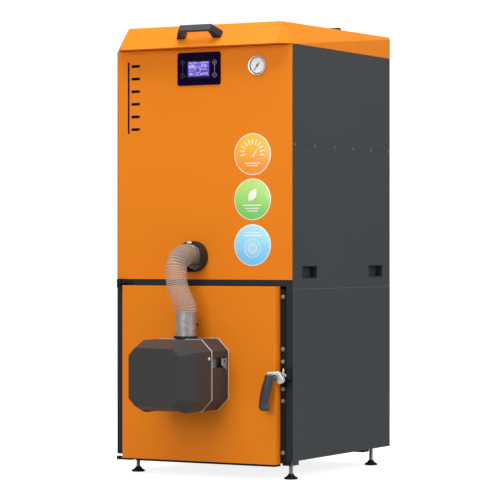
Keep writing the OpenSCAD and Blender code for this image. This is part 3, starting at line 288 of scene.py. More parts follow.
def powder_coat(name, colour, roughness=0.42, peel=300, depth=0.035, drift=0.05):
    """Baked powder. peel counts the lumps in a metre, depth is their relief in mm."""
    f = Finish(name, colour, roughness, Specular_IOR_Level=0.14)
    cloud = f.noise(2.2, 3.0)
    grain = f.noise(1500, 1.0)
    tone = f.mix(cloud, shade(colour, 1 - drift), shade(colour, 1 + drift))
    f.put("Base Color", f.mix(grain * 0.12, tone, shade(colour, 0.7)))
    f.put("Roughness", roughness - 0.04 + 0.08 * f.noise(9, 3.0) + 0.04 * grain)
    f.relief(f.noise(peel, 2.0) + 0.25 * grain, depth)
    return f.material


finishes = {
    "panel_orange": powder_coat("orange_powder", rgb(233, 129, 20), 0.42),
    "casing_grey": powder_coat("grey_powder", rgb(64, 67, 68), 0.46),
    "frame_slate": powder_coat("slate_powder", rgb(39, 43, 48), 0.44),
    "burner_dark": powder_coat("burner_powder", rgb(62, 61, 61), 0.36, 260, 0.04),
    "plate_black": powder_coat("black_powder", rgb(27, 28, 30), 0.48),
    # A light grey for the low side seams: a painted highlight, where the seam's edges catch the light.
    "seam_grey": powder_coat("seam_edge", rgb(132, 135, 136), 0.5),
    "motor_black": powder_coat("motor_paint", rgb(34, 35, 37), 0.34, 200, 0.03),
    "vessel_steel": powder_coat("vessel_primer", rgb(70, 76, 84), 0.62, 420, 0.06, 0.12),
}
print(len(finishes), "powder coats")

# %% [markdown]
# ## Bare metals
# Bare sheet is galvanised, with the crystal flowers of hot-dip zinc. Bolts are zinc plated,
# pipes are drawn, so their grain runs along them, and the combustion tube is tinted by heat.
# A pattern of cells gives the zinc flowers, stretched noise gives the drawn grain.

# %% Metal finishes


def galvanised(name):
    """Zinc flowers: cells with ragged borders, each with its own tone and gloss, and dark specks."""
    base = rgb(176, 178, 178)
    f = Finish(name, base, 0.42, Metallic=0.6)
    bent = f.mix(0.012, f.place, f.noise(60, 3.0, out="Color"), "ADD")
    flower = f.add("ShaderNodeTexVoronoi", None, {"Vector": bent, "Scale": 95}, out="Color")
    cell = f.add("ShaderNodeSeparateColor", None, {"Color": flower})
    speck = f.window(f.noise(420, 3.0), 0.60, 0.72)
    tone = f.mix(cell, shade(base, 0.72), shade(base, 1.12))
    f.put("Base Color", f.mix(speck * 0.75, tone, shade(base, 0.35)))
    f.put("Roughness", 0.34 + 0.22 * cell + 0.1 * speck)
    f.relief(cell * 0.4 + f.noise(900, 1.0), 0.02)
    return f.material


def plated(name, colour, roughness, grain=(700, 700, 700), metallic=1.0):
    """Plated or drawn metal. grain counts its lumps in a metre on each axis."""
    f = Finish(name, colour, roughness, Metallic=metallic)
    lines = f.noise(1.0, 3.0, f.stretched(*grain))
    cloud = f.noise(45, 4.0)
    tone = f.mix(cloud, shade(colour, 0.86), shade(colour, 1.1))
    f.put("Base Color", f.mix(lines * 0.25, tone, shade(colour, 0.6)))
    f.put("Roughness", roughness - 0.06 + 0.12 * cloud + 0.08 * lines)
    f.relief(lines, 0.012)
    return f.material


def fired_steel(name):
    """Stainless that has been hot: straw and blue bands, with soot near the mouth."""
    base = rgb(150, 146, 140)
    f = Finish(name, base, 0.45, Metallic=0.9)
    along = f.axis("Y") * 3.2 + 0.75 + 0.12 * f.noise(14, 4.0)
    heat = f.add("ShaderNodeValToRGB", {"stops": [
        (0.0, base), (0.35, rgb(168, 142, 96)), (0.5, rgb(122, 92, 100)),
        (0.62, rgb(86, 96, 128)), (0.8, rgb(98, 90, 84)), (1.0, rgb(46, 42, 40))]}, {"Fac": along})
    soot = f.window(f.noise(30, 5.0), 0.45, 0.75) * f.window(along, 0.5, 1.0)
    f.put("Base Color", f.mix(soot, heat, rgb(22, 21, 20)))
    f.put("Metallic", 0.9 - 0.7 * soot)
    f.put("Roughness", 0.36 + 0.4 * soot)
    f.relief(f.noise(500, 2.0), 0.03)
    return f.material


finishes |= {
    "zinc_sheet": galvanised("galvanised_sheet"),
    "zinc_parts": plated("zinc_plating", rgb(188, 188, 184), 0.34),
    "dull_bolt": plated("dull_bolt", rgb(142, 136, 130), 0.5, metallic=0.35),
    "rusty_screw": plated("rusty_screw", rgb(120, 62, 36), 0.6, metallic=0.3),
    "bracket_steel": plated("bracket_steel", rgb(142, 150, 154), 0.5, metallic=0.25),
    "foot_zinc": plated("rod_zinc", rgb(196, 194, 190), 0.4, metallic=0.8),
    "steel_tube": plated("drawn_steel", rgb(150, 147, 142), 0.4, (900, 25, 900)),
    "lever_chrome": plated("polished_chrome", rgb(240, 240, 236), 0.2, metallic=0.75),
    "bright_knob": plated("bright_knob", rgb(244, 242, 236), 0.32, metallic=0.4),
    "fittings_brass": plated("turned_brass", rgb(196, 164, 96), 0.28, (60, 900, 60)),
    "fire_steel": fired_steel("fired_steel"),
}
print(len(finishes), "finishes so far")

# %% [markdown]
# ## Mouldings, boards and rubber
# Moulded black parts have a spark-eroded skin: matt, with a relief of tiny pits.
# The latch grip is pressed resin, smoother and glossier, with faint flow marks.
# The door's board is pressed ceramic fibre, and the seals are braided glass rope and sponge rubber.
# Scanned surfaces would show more, but one noise recipe for each fits any size and tiles nowhere.

# %% Moulded and fibrous finishes


def moulded(name, colour, roughness, pits=900, depth=0.03, drift=0.2, **flat):
    """A moulding. pits counts them in a metre, depth is in mm, drift is how far the tone strays."""
    f = Finish(name, colour, roughness, **flat)
    skin = f.noise(pits, 2.0)
    flow = f.noise(24, 4.0)
    f.put("Base Color", f.mix(flow, shade(colour, 1 - drift), shade(colour, 1 + drift)))
    f.put("Roughness", roughness - 0.05 + 0.1 * flow + 0.05 * skin)
    f.relief(skin, depth)
    return f.material


def fibre_board(name):
    """Pressed ceramic fibre, scorched brown in patches."""
    base = rgb(226, 220, 204)
    f = Finish(name, base, 0.95, Sheen_Weight=0.2)
    fibres = f.noise(1.0, 4.0, f.stretched(140, 600, 900))
    scorch = f.window(f.noise(6, 4.0), 0.55, 0.85)
    tone = f.mix(fibres, shade(base, 0.82), shade(base, 1.05))
    f.put("Base Color", f.mix(scorch * 0.55, tone, rgb(132, 116, 96)))
    f.relief(fibres + f.noise(260, 3.0), 0.35)
    return f.material


def braid(name):
    """Glass rope: two crossing sets of strands, read from the sweep's own attributes."""
    base = rgb(214, 210, 198)
    f = Finish(name, base, 0.9, Sheen_Weight=0.35)
    along, around = f.laid("along") * 900, f.laid("around") * 31.4
    crossing = (along + around).maths("SINE") * (along - around).maths("SINE")
    strands = f.window(crossing, -0.6, 0.6)
    # Where the strands part the colour darkens: painted shade in the grooves of the braid.
    f.put("Base Color", f.mix(strands, shade(base, 0.55), base))
    f.relief(strands + 0.3 * f.noise(1800, 2.0), 0.5)
    return f.material


def handle_nylon(name):
    """Grey nylon that is nearly black on the legs, from 50 to 56 mm off the middle outwards."""
    f = Finish(name, rgb(74, 75, 75), 0.5, Specular_IOR_Level=0.25)
    leg = f.window(f.axis("X").maths("ABSOLUTE"), 0.050, 0.056)
    skin = f.noise(700, 2.0)
    flow = f.noise(24, 4.0)
    bar = f.mix(flow, rgb(52, 54, 56), rgb(68, 66, 62))
    f.put("Base Color", f.mix(leg, bar, f.mix(flow, rgb(26, 24, 32), rgb(40, 36, 42))))
    f.put("Roughness", 0.45 + 0.1 * flow + 0.05 * skin)
    f.relief(skin, 0.05)
    return f.material


finishes |= {
    "handle_grey": handle_nylon("handle_nylon"),
    "black_plastic": moulded("black_moulding", rgb(26, 27, 28), 0.5, Specular_IOR_Level=0.35),
    "grip_bakelite": moulded("pressed_resin", rgb(50, 54, 59), 0.34, 400, 0.012, Coat_Weight=0.1),
    "cup_grey": moulded("cup_moulding", rgb(50, 52, 53), 0.55, 700, 0.05, Specular_IOR_Level=0.3),
    "needle_black": moulded("needle_paint", rgb(20, 20, 22), 0.5),
    "seal_black": moulded("sponge_rubber", rgb(24, 24, 24), 0.85, 500, 0.2),
    "igniter_ceramic": moulded("ceramic", rgb(222, 214, 196), 0.55, 600, 0.05),
    "ceramic_board": fibre_board("fibre_board"),
    "gasket_rope": braid("glass_rope"),
}
print(len(finishes), "finishes so far")

# %% [markdown]
# ## Clear and lit surfaces
# The hose is clear plastic gone slightly milky, so the orange door shines through it.
# Its ribs are thicker and less clear, its upper bend by the collar is darker and less clear, and on the
# spigot it is stretched thin.
# The shader reads where it is from what the sweep lays down along the tube, in metres.
# The screen's glass is black with a faint smear, and the dial's glass is plain glass.

# %% Hose, glass and dial
BEND_END = (0.066, 0.094)  # metres along the hose, between which the darker, less clear bend fades out
SPIGOT_START = (0.264, 0.269)


def hose_skin(name):
    """Milky plastic, read from where along the hose it is and how much of a rib is there."""
    f = Finish(name, rgb(206, 176, 152), 0.3, Specular_IOR_Level=0.3)
    rib, along = f.laid("rib"), f.laid("along")
    cloud = f.noise(38, 4.0)
    bend = 1.0 - f.window(along, *BEND_END)
    on_spigot = f.window(along, *SPIGOT_START)
    clear = f.mix(rib, rgb(186, 160, 142), rgb(216, 198, 184))
    # In the bend by the collar the hose is darker and less clear.
    darker_by_collar = f.mix(rib, rgb(62, 56, 48), rgb(176, 164, 148))
    f.put("Base Color", f.mix(cloud * 0.3, f.mix(bend, clear, darker_by_collar), rgb(190, 156, 130)))
    f.put("Alpha", (0.17 + 0.24 * rib * rib + 0.04 * cloud + 0.42 * bend) * (1.0 - 0.65 * on_spigot))
    f.put("Roughness", 0.26 + 0.14 * cloud)
    f.relief(f.noise(300, 2.0), 0.04)
    return f.material


def smeared_gloss(name, colour, roughness):
    """Dark glass with the long smears of a wiping cloth."""
    f = Finish(name, colour, roughness, Specular_IOR_Level=0.05)
    smear = f.window(f.noise(1.0, 4.0, f.stretched(26, 26, 60)), 0.4, 0.8)
    f.put("Roughness", roughness + 0.16 * smear)
    f.put("Base Color", f.mix(smear * 0.5, colour, shade(colour, 1.8)))
    f.relief(f.noise(700, 1.0), 0.004)
    return f.material


def clear_pane(name):
    """Plain glass with a trace of dust."""
    f = Finish(name, rgb(236, 242, 244), 0.03, IOR=1.45)
    f.put("Alpha", 0.03 + 0.04 * f.noise(60, 3.0))
    f.put("Roughness", 0.03 + 0.05 * f.noise(200, 2.0))
    return f.material


finishes |= {
    "hose_pvc": hose_skin("milky_hose"),
    "display_black": smeared_gloss("display_glass_black", rgb(14, 0, 32), 0.22),
    "dial_white": moulded("printed_dial", rgb(248, 253, 255), 0.6, 900, 0.01, 0.04),
    "clear_glass": clear_pane("clear_pane"),
    "polished_rim": plated("polished_rim", rgb(246, 242, 234), 0.2, metallic=0.8),
    # The near-white of the burner's seams is a painted highlight, as on edges that catch the light.
    "bare_edge": plated("bare_edge", rgb(246, 238, 230), 0.35, metallic=0.3),
    "dial_ink": moulded("dial_ink", rgb(40, 44, 52), 0.5, 900, 0.004),
    "white_vinyl": moulded("white_vinyl", rgb(246, 246, 240), 0.4, 900, 0.006, 0.05),
}
for name, node in nodes.items():
    for held in node.material_slots:
        held.material = finishes[slot_of[name]]
print("every one of", len(nodes), "nodes has its finish")

# %% [markdown]
# ## Folded sheet with rounded edges
# The CAD model has knife-sharp edges, and real sheet never has. Sheet metal is rounded where it is
# folded, by about its own thickness, and only just broken where it is cut.
# A copy of the CAD mesh is welded, flat faces are merged, and each edge gets a bevel by its kind:
# wide on a fold between two broad faces, narrow on a cut rim. The light then finds every edge.
# Broad faces would still shade like cushions, so the normals are weighted by the faces' area.

# %% Pieces and their meshes


def linked(name, data):
    """A new object in the scene, which holds that mesh, text, camera or lamp."""
    obj = bpy.data.objects.new(name, data)
    bpy.context.collection.objects.link(obj)
    return obj


def new_object(name, mesh, finish):
    """A new object from a mesh, in the finish of that name."""
    obj = linked(name, mesh)
    mesh.materials.clear()
    mesh.materials.append(finishes[finish])
    return obj


def finished(obj, body, replaced=()):
    """Hooks a finished piece to its body and to the nodes that it replaces."""
    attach(obj, body)
    if replaced:
        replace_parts(obj, *replaced)
    return obj


def made(name, mesh, body, slot, replaced=(), finish=None):
    """A new piece from a mesh. It has its slot's finish, or another one by name."""
    return finished(new_object(name, mesh, finish or slot), body, replaced)


def smooth(mesh, angle=35):
    """Smooth shading, with edges sharper than the angle in degrees kept sharp."""
    mesh.shade_smooth()
    mesh.set_sharp_from_angle(angle=math.radians(angle))


def result_of(obj):
    """The plain mesh that an object's modifiers or its text come to."""
    bpy.context.view_layer.update()
    graph = bpy.context.evaluated_depsgraph_get()
    return bpy.data.meshes.new_from_object(
        obj.evaluated_get(graph), preserve_all_data_layers=True, depsgraph=graph)


def baked(obj):
    """Replaces an object's mesh by what its modifiers make of it."""
    mesh = result_of(obj)
    obj.modifiers.clear()
    obj.data = mesh
    return obj


print("helpers for pieces ready")

# %% Rounding each edge by its kind
BROAD_MM, FLAT_DEGREES, SHARP_DEGREES = 4.0, 0.5, 20


def is_fold(edge):
    """True where two broad faces meet outwards, as at a fold, and not at a cut rim."""
    if len(edge.link_faces) != 2 or not edge.is_convex:
        return False
    breadths = [f.calc_area() / max(e.calc_length() for e in f.edges) for f in edge.link_faces]
    return min(breadths) > BROAD_MM * MM


def rounded_copy(node, fold_mm=1.6, rim_mm=0.35, segments=3, finish=None, merge=True):
    """A copy of a CAD node with its folds and rims rounded, in the node's place.

    Merging is off for the nodes where a merged face would close an opening or fold over.
    """
    mesh = nodes[node].data.copy()
    bm = bmesh.new()
    bm.from_mesh(mesh)
    bmesh.ops.remove_doubles(bm, verts=bm.verts, dist=1e-5)
    if merge:
        bmesh.ops.dissolve_limit(
            bm, angle_limit=math.radians(FLAT_DEGREES), verts=bm.verts, edges=bm.edges)
    weights = bm.edges.layers.float.new("bevel_weight_edge")
    for edge in bm.edges:
        sharp = len(edge.link_faces) == 2 and edge.calc_face_angle() > math.radians(SHARP_DEGREES)
        if sharp and edge.is_convex:
            edge[weights] = 1.0 if is_fold(edge) else rim_mm / fold_mm
    bm.to_mesh(mesh)
    bm.free()
    obj = new_object(node + "_worked", mesh, finish or slot_of[node])
    bevel = obj.modifiers.new("bevel", "BEVEL")
    bevel.limit_method, bevel.width, bevel.segments = "WEIGHT", fold_mm * MM, segments
    bevel.use_clamp_overlap = False
    bevel.harden_normals = False
    baked(obj)
    smooth(obj.data)
    level = obj.modifiers.new("level", "WEIGHTED_NORMAL")
    level.mode, level.weight, level.keep_sharp = "FACE_AREA", 100, True
    baked(obj)
    return finished(obj, nodes[node]["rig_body"], [node])


print("rounding by kind of edge ready")

# %% The sheet parts, rounded
# Each rounding is its mm on a fold, its mm on a rim, and its steps.
SOFT, CRISP, FINE = (1.0, 0.35, 2), (0.8, 0.3, 2), (0.5, 0.3, 2)
PANEL_SET = 0.25  # the rivets' heads then show, and still stay inside the CAD model's box

for node in ["front_panel", "rear_panel", "door_plate"]:
    rounded_copy(node, *SOFT)
for side, inwards in (("left", 1), ("right", -1)):
    rounded_copy(f"side_{side}_lower", *FINE)
    for level in ("middle", "upper"):
        panel = rounded_copy(f"side_{side}_{level}", *FINE)
        panel.data.transform(Matrix.Translation((inwards * PANEL_SET * MM, 0, 0)))
for node in ["lid", "rear_hood"]:
    rounded_copy(node, 2.2)
rounded_copy("door_tray", merge=False)
rounded_copy("burner_cover", 1.0, 0.3, 2, merge=False)
rounded_copy("burner_housing", *FINE, merge=False)
rounded_copy("grip_cups", *CRISP, "cup_grey")
for node in ["front_frame", "base_frame", "latch_keeper", "control_unit",
             "door_hinge_arms", "door_hinge_pins", "lid_hinge_straps"]:
    rounded_copy(node, *CRISP)
rounded_copy("lid_hinge_bases", *FINE, merge=False)
print(sum(len(o.data.polygons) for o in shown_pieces() if "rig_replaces" in o), "faces on rounded copies")

# %% [markdown]
# ## Shapes from outlines
# A lathe and an extruder make most small parts of a machine like this one.
# Primitives would do for a sketch, but a drawn profile brings the lips, beads and chamfers
# that catch the light. Both helpers take millimetres and give a closed mesh that faces outwards.

# %% A lathe
# Where an outline's two numbers and its reach along the axis go, for each axis.
SPUN = {
    "X": lambda a, b, h: (h, a, b),
    "Y": lambda a, b, h: (a, h, b),
    "Z": lambda a, b, h: (a, b, h),
}


def mesh_of(bm, angle=35):
    """Turns a bmesh into a mesh with outward faces and sharp edges where they belong."""
    bmesh.ops.remove_doubles(bm, verts=bm.verts, dist=1e-6)
    bmesh.ops.recalc_face_normals(bm, faces=bm.faces)
    mesh = bpy.data.meshes.new("shape")
    bm.to_mesh(mesh)
    bm.free()
    smooth(mesh, angle)
    return mesh


def turned(profile, centre=ORIGIN, axis="Y", sides=72, angle=35):
    """Spins rows of radius and distance. A profile off the axis closes into a ring."""
    bm = bmesh.new()
    middle = at(*centre)
    rings = []
    for radius, reach in profile:
        turns = [2 * math.pi * k / sides for k in range(sides if radius > 0 else 1)]
        rings.append([bm.verts.new(middle + Vector(SPUN[axis](
            radius * math.cos(t), radius * math.sin(t), reach)) * MM) for t in turns])
    pairs = list(zip(rings, rings[1:])) + ([(rings[-1], rings[0])] if profile[0][0] > 0 else [])
    for a, b in pairs:
        for k in range(sides):
            corners = [a[k % len(a)], a[(k + 1) % len(a)], b[(k + 1) % len(b)], b[k % len(b)]]
            bm.faces.new(list(dict.fromkeys(corners)))
    return mesh_of(bm, angle)


print("lathe ready")

# %% An extruder


def prism(outline, low, high, axis="Y", centre=(0, 0, 0), edge=0.0, segments=2):
    """Extrudes an outline between two places on an axis, and breaks its edges by edge mm."""
    bm = bmesh.new()
    cx, cy, cz = centre
    ends = []
    for reach in (low, high):
        spots = [SPUN[axis](*p, reach) for p in outline]
        ends.append([bm.verts.new(at(x + cx, y + cy, z + cz)) for x, y, z in spots])
        bm.faces.new(ends[-1])
    for k in range(len(outline)):
        bm.faces.new([ends[0][k - 1], ends[0][k], ends[1][k], ends[1][k - 1]])
    bmesh.ops.recalc_face_normals(bm, faces=bm.faces)
    if edge:
        corners = [e for e in bm.edges if e.calc_face_angle() > math.radians(30)]
        bmesh.ops.bevel(bm, geom=corners, offset=edge * MM, segments=segments, profile=0.5,
                        affect="EDGES", clamp_overlap=True)
    return mesh_of(bm)


def merged(*meshes):
    """Several meshes as one."""
    bm = bmesh.new()
    for mesh in meshes:
        bm.from_mesh(mesh)
    mesh = bpy.data.meshes.new("merged")
    bm.to_mesh(mesh)
    bm.free()
    return mesh


def box_outline(x0, x1, z0, z1):
    """The corners of an upright rectangle."""
    return [(x0, z0), (x1, z0), (x1, z1), (x0, z1)]


print("extruder ready")

# %% [markdown]
# ## Parts that repeat, grown by Geometry Nodes
# Bolts, rivets, dial marks and ribs repeat one shape by a rule. Copying meshes in a loop works,
# but a node tree keeps the rule in one place: named inputs for the sizes, instances on points,
# then Realize Instances, because an exported model keeps only real geometry.

# %% The tree writer


class Growth(Graph):
    """A Geometry Nodes tree with named inputs, which ends in real geometry with a material."""

    def __init__(self, name):
        super().__init__(bpy.data.node_groups.new(name, "GeometryNodeTree"))
        self.entry = self.tree.nodes.new("NodeGroupInput")
        self.ids = {}
        self.start = self.take("Start", "Geometry")

    def take(self, name, kind):
        """A named input of the tree."""
        socket = self.tree.interface.new_socket(
            name, in_out="INPUT", socket_type="NodeSocket" + kind)
        self.ids[name] = socket.identifier
        return Wire(self, self.entry.outputs[name])

    def vector(self, x=0.0, y=0.0, z=0.0):
        """Three numbers as one vector."""
        return self.add("ShaderNodeCombineXYZ", None, {"X": x, "Y": y, "Z": z})

    def instances(self, points, rotation):
        """The part named Part on every point."""
        part = self.add("GeometryNodeObjectInfo", None,
                        {"Object": self.take("Part", "Object")}, out="Geometry")
        turn = self.add("FunctionNodeEulerToRotation", None, {"Euler": rotation})
        return self.add("GeometryNodeInstanceOnPoints", None,
                        {"Points": points, "Instance": part, "Rotation": turn})

    def lay_down(self, shape, name, value):
        """Keeps a value at every point of a shape, for a finish to read."""
        return self.add("GeometryNodeStoreNamedAttribute", {"data_type": "FLOAT", "domain": "POINT"},
                        {"Geometry": shape, "Name": name, "Value": value})

    def end(self, shape):
        """Turns instances into real geometry and gives it the input named Material."""
        self.tree.interface.new_socket(
            "Shape", in_out="OUTPUT", socket_type="NodeSocketGeometry")
        real = self.add("GeometryNodeRealizeInstances", None, {"Geometry": shape})
        coated = self.add("GeometryNodeSetMaterial", None, {
            "Geometry": real, "Material": self.take("Material", "Material")})
        leave = self.tree.nodes.new("NodeGroupOutput")
        self.feed(leave.inputs["Shape"], coated)


def grow(tree, start, slot, part=None, **values):
    """Runs a tree on a mesh and gives the result as a plain mesh."""
    seed = linked("seed", start)
    growth = seed.modifiers.new("growth", "NODES")
    growth.node_group = tree.tree
    growth[tree.ids["Material"]] = finishes[slot]
    for name, value in values.items():
        growth[tree.ids[name]] = value
    if part:
        sample = linked("sample", part)
        growth[tree.ids["Part"]] = sample
    mesh = result_of(seed)
    bpy.data.objects.remove(seed)
    if part:
        bpy.data.objects.remove(sample)
    return mesh


print("tree writer ready")

# %% Tree one: parts on given points
on_points = Growth("parts_on_points")
turn_here = on_points.add("GeometryNodeInputNamedAttribute", {"data_type": "FLOAT_VECTOR"},
                          {"Name": "turn"})
on_points.end(on_points.instances(on_points.start, turn_here))


def spots(rows):
    """A mesh of points. Each row is a point in mm and its turn in degrees."""
    mesh = bpy.data.meshes.new("spots")
    mesh.from_pydata([at(*place) for place, _ in rows], [], [])
    turns = mesh.attributes.new("turn", "FLOAT_VECTOR", "POINT")
    for item, (_, turn) in zip(turns.data, rows):
        item.vector = [math.radians(angle) for angle in turn]
    return mesh


print("parts on points:", sorted(on_points.ids))

# %% Tree two: parts around a ring
on_ring = Growth("parts_on_a_ring")
angle_here = on_ring.take("First", "Float") + on_ring.take("Step", "Float") * on_ring.add(
    "GeometryNodeInputIndex")
ring_radius = on_ring.take("Radius", "Float")
spoke = on_ring.vector(x=angle_here.maths("SINE") * ring_radius,
                       z=angle_here.maths("COSINE") * ring_radius)
ring_place = on_ring.add("ShaderNodeVectorMath", {"operation": "ADD"}, {
    0: spoke, 1: on_ring.take("Centre", "Vector")})
ring_points = on_ring.add("GeometryNodePoints", None, {
    "Count": on_ring.take("Count", "Int"), "Position": ring_place})
on_ring.end(on_ring.instances(ring_points, on_ring.vector(y=angle_here)))


def ring_of(part, slot, centre, radius, count, first, step):
    """Repeats a part around an axis along y. Angles are in degrees, clockwise from the top."""
    empty = bpy.data.meshes.new("empty")
    return grow(on_ring, empty, slot, part, Count=count, Radius=radius * MM,
                First=math.radians(first), Step=math.radians(step), Centre=at(*centre))


print("parts on a ring:", sorted(on_ring.ids))

# %% Tree three: a ribbed sweep
sweep = Growth("ribbed_sweep")
run = sweep.add("GeometryNodeSplineParameter", out="Length")
wave = run * (2 * math.pi) / sweep.take("Pitch", "Float")
rib_here = 0.5 + 0.5 * wave.maths("COSINE")
route = sweep.add("GeometryNodeMeshToCurve", None, {"Mesh": sweep.start})
route = sweep.lay_down(sweep.lay_down(route, "rib", rib_here), "along", run)
section = sweep.add("GeometryNodeCurvePrimitiveCircle", None, {
    "Resolution": sweep.take("Sides", "Int"), "Radius": 1.0})
section = sweep.lay_down(section, "around", sweep.add("GeometryNodeSplineParameter", out="Factor"))
girth = sweep.take("Radius", "Float") - sweep.take("Dip", "Float") * (1.0 - rib_here)
sweep.end(sweep.add("GeometryNodeCurveToMesh", None, {
    "Curve": route, "Profile Curve": section, "Scale": girth,
    "Fill Caps": sweep.take("Caps", "Bool")}))


def swept(path, slot, radius, dip=0.0, pitch=1.0, sides=32, caps=False, closed=False):
    """A tube along points in metres, whose radius dips between its ribs. Sizes are in mm.

    One turn of the wave is pitch mm long, and a tube without a dip has no ribs.
    """
    mesh = bpy.data.meshes.new("path")
    edges = [(k, k + 1) for k in range(len(path) - 1)] + ([(len(path) - 1, 0)] if closed else [])
    mesh.from_pydata(path, edges, [])
    tube = grow(sweep, mesh, slot, Radius=radius * MM, Dip=dip * MM, Pitch=pitch * MM,
                Sides=sides, Caps=caps)
    smooth(tube, 50)
    return tube


print("ribbed sweep:", sorted(sweep.ids))

# %% [markdown]
# ## The pellet hose
# The hose carries pellets from the feed screw down to the burner. It is clear plastic
# with a rib every six millimetres, so it bends without a kink.
# A curve with a bevel would give a smooth tube. The ribbed sweep gives the ribs as real shape,
# and it lays down how thick the plastic is, which the finish turns into clearness.

# %% The hose along its route
HOSE_ROWS = [
    (0, 37, 350), (0, 20, 350), (0, 0, 350), (0, -25, 350), (0, -42, 347.5), (0, -57, 340.5),
    (0, -68.5, 330.5), (0, -75.5, 318), (0.5, -78.5, 303), (1, -80, 286), (4, -80.5, 268),
    (8.5, -80, 251), (14, -77.5, 235), (19.5, -74.6, 220), (24.3, -71.2, 206), (26.8, -69.3, 194),
    (27, -69, 181), (27, -69, 160), (27, -69, 137), (27, -69, 113.5)]
HOSE_FROM = (-30, -30, 307)
HOSE_STEP, HOSE_RADIUS, HOSE_RIBS, RIB_DIP, HOSE_WALL = 0.8, 32, 56, 1.5, 1.0


def smooth_route(knots, step):
    """Points along a smooth curve through the knots, that many mm apart."""
    knots = [Vector(k) for k in knots]
    last = len(knots) - 1
    way = [(knots[min(k + 1, last)] - knots[max(k - 1, 0)]).normalized() for k in range(last + 1)]
    points = []
    for k in range(last):
        a, b = knots[k], knots[k + 1]
        reach = (b - a).length
        count = max(2, round(reach / step))
        for u in (j / count for j in range(count)):
            points.append((2 * u**3 - 3 * u**2 + 1) * a + (u**3 - 2 * u**2 + u) * reach * way[k]
                          + (3 * u**2 - 2 * u**3) * b + (u**3 - u**2) * reach * way[k + 1])
    return points + [knots[-1]]


route_mm = smooth_route(HOSE_ROWS, HOSE_STEP)
hose_path = [at(*(p + q for p, q in zip(point, HOSE_FROM))) for point in route_mm]
hose_length = sum((b - a).length for a, b in zip(hose_path, hose_path[1:])) / MM
tube = new_object("hose_run", swept(hose_path, "hose_pvc", HOSE_RADIUS, RIB_DIP,
                                    hose_length / HOSE_RIBS, 64), "hose_pvc")
wall = tube.modifiers.new("wall", "SOLIDIFY")
wall.thickness, wall.offset = HOSE_WALL * MM, -1
baked(tube)
smooth(tube.data, 60)
finished(tube, "door", ["pellet_hose"])
print(f"hose of {hose_length:.0f} mm, {len(tube.data.polygons)} faces")

# %% [markdown]
# ## Collar, clamp and spigot ring
# The hose leaves the panel through a black collar, is held by a worm-drive clamp,
# and is pushed over a galvanised spigot that stands in a black ring on the burner.
# A torus or a tube primitive would come close, but has no lip. Nearly all are spun shapes,
# so the lathe makes them, and each profile gets the rolled lip of the real part.

# %% Collar, rings and clamp
made("feed_collar", turned(
    [(42, 0), (42, -24.6), (42.9, -26), (45.1, -26), (46, -25), (46, -4), (46, 0)],
    (-30, 0, 652), sides=96), "cabinet", "black_plastic", ["hose_collar"])
made("spigot_ring", turned(
    [(28.1, 0), (34, 0), (35, 1), (35, 8), (34, 9), (28.1, 9)],
    (-3, -99, 411.5), "Z", 96), "door", "black_plastic", ["hose_clamps"])
band = turned([(32.3, -4.5), (33.1, -4.5), (33.5, -4), (33.3, -3.2), (33.3, 3.2), (33.5, 4),
               (33.1, 4.5), (32.3, 4.5)], (-30, -42, 657), sides=96)
made("clamp_band", band, "door", "zinc_parts")
housing = prism([(-30, 691), (-14, 691), (-14, 694.5), (-17, 697), (-27, 697), (-30, 694.5)],
                -47, -37, edge=0.8)
made("clamp_housing", housing, "door", "zinc_parts", finish="bright_knob")
knob = turned([(0, -14), (4.2, -14), (4.8, -13.2), (4.8, -8), (3.4, -7.6), (3.4, -5.5), (0, -5.5)],
              (-8, -42, 694), "X", 24)
made("clamp_knob", knob, "door", "black_plastic")
print("collar, ring and clamp made")

# %% [markdown]
# ## The burner's outside
# The burner's sheet shells meet in thin seams that stand proud, and the bright line along each is a
# painted highlight, as where an edge catches the light.
# A bracket and a baffle close the side opening, and a knurled screw holds the cover.
# The bright seams could be a stripe in the paint's shader, but a real edge also stands proud,
# so they are thin eight-sided bands. The knurl is a ring of small ribs, where a bump would look flat.

# %% Seams and side bracket
BURNER_X, BURNER_Z = -3, 307


def octagon(half, cut):
    """The corners of an eight-sided outline around the burner's axis."""
    return [(x + BURNER_X, z + BURNER_Z) for x, z in [
        (-half, -half + cut), (-half + cut, -half), (half - cut, -half), (half, -half + cut),
        (half, half - cut), (half - cut, half), (-half + cut, half), (-half, half - cut)]]


def band_between(outer, inner, low, high):
    """A closed band between two outlines of the same count, from low to high on y."""
    bm = bmesh.new()
    loops = [[bm.verts.new(at(x, y, z)) for x, z in line]
             for line, y in ((outer, low), (outer, high), (inner, high), (inner, low))]
    for a, b in zip(loops, loops[1:] + loops[:1]):
        for k in range(len(outer)):
            bm.faces.new([a[k - 1], a[k], b[k], b[k - 1]])
    return mesh_of(bm, 20)


SEAMS_Y, SEAM_WIDTH = (-32, -129.3), 2.2
seams = merged(*(band_between(octagon(105.7, 34.8), octagon(103, 34), y, y + SEAM_WIDTH)
                 for y in SEAMS_Y))
# The seams' near-white finish is a painted highlight along their proud edges.
made("burner_seams", seams, "door", "zinc_parts", finish="bare_edge")
plate = prism([(-72, 355.5), (-41, 355.5), (-41, 321), (-72, 335.5)], 101.0, 102.6, "X",
              edge=0.3)
made("side_bracket", plate, "door", "zinc_sheet", finish="bracket_steel")
baffle = prism([(-126, 296), (-38, 296), (-38, 362), (-126, 362)], 83, 84, "X", edge=0.3)
made("inlet_baffle", baffle, "door", "zinc_sheet", finish="bracket_steel")
rivet = turned([(0, 102.6), (3.2, 102.6), (3.2, 103.1), (2.2, 104.2), (0, 104.4)],
               (0, -56, 347.3), "X", 24)
made("bracket_rivet", rivet, "door", "plate_black")
print("seams and bracket made")

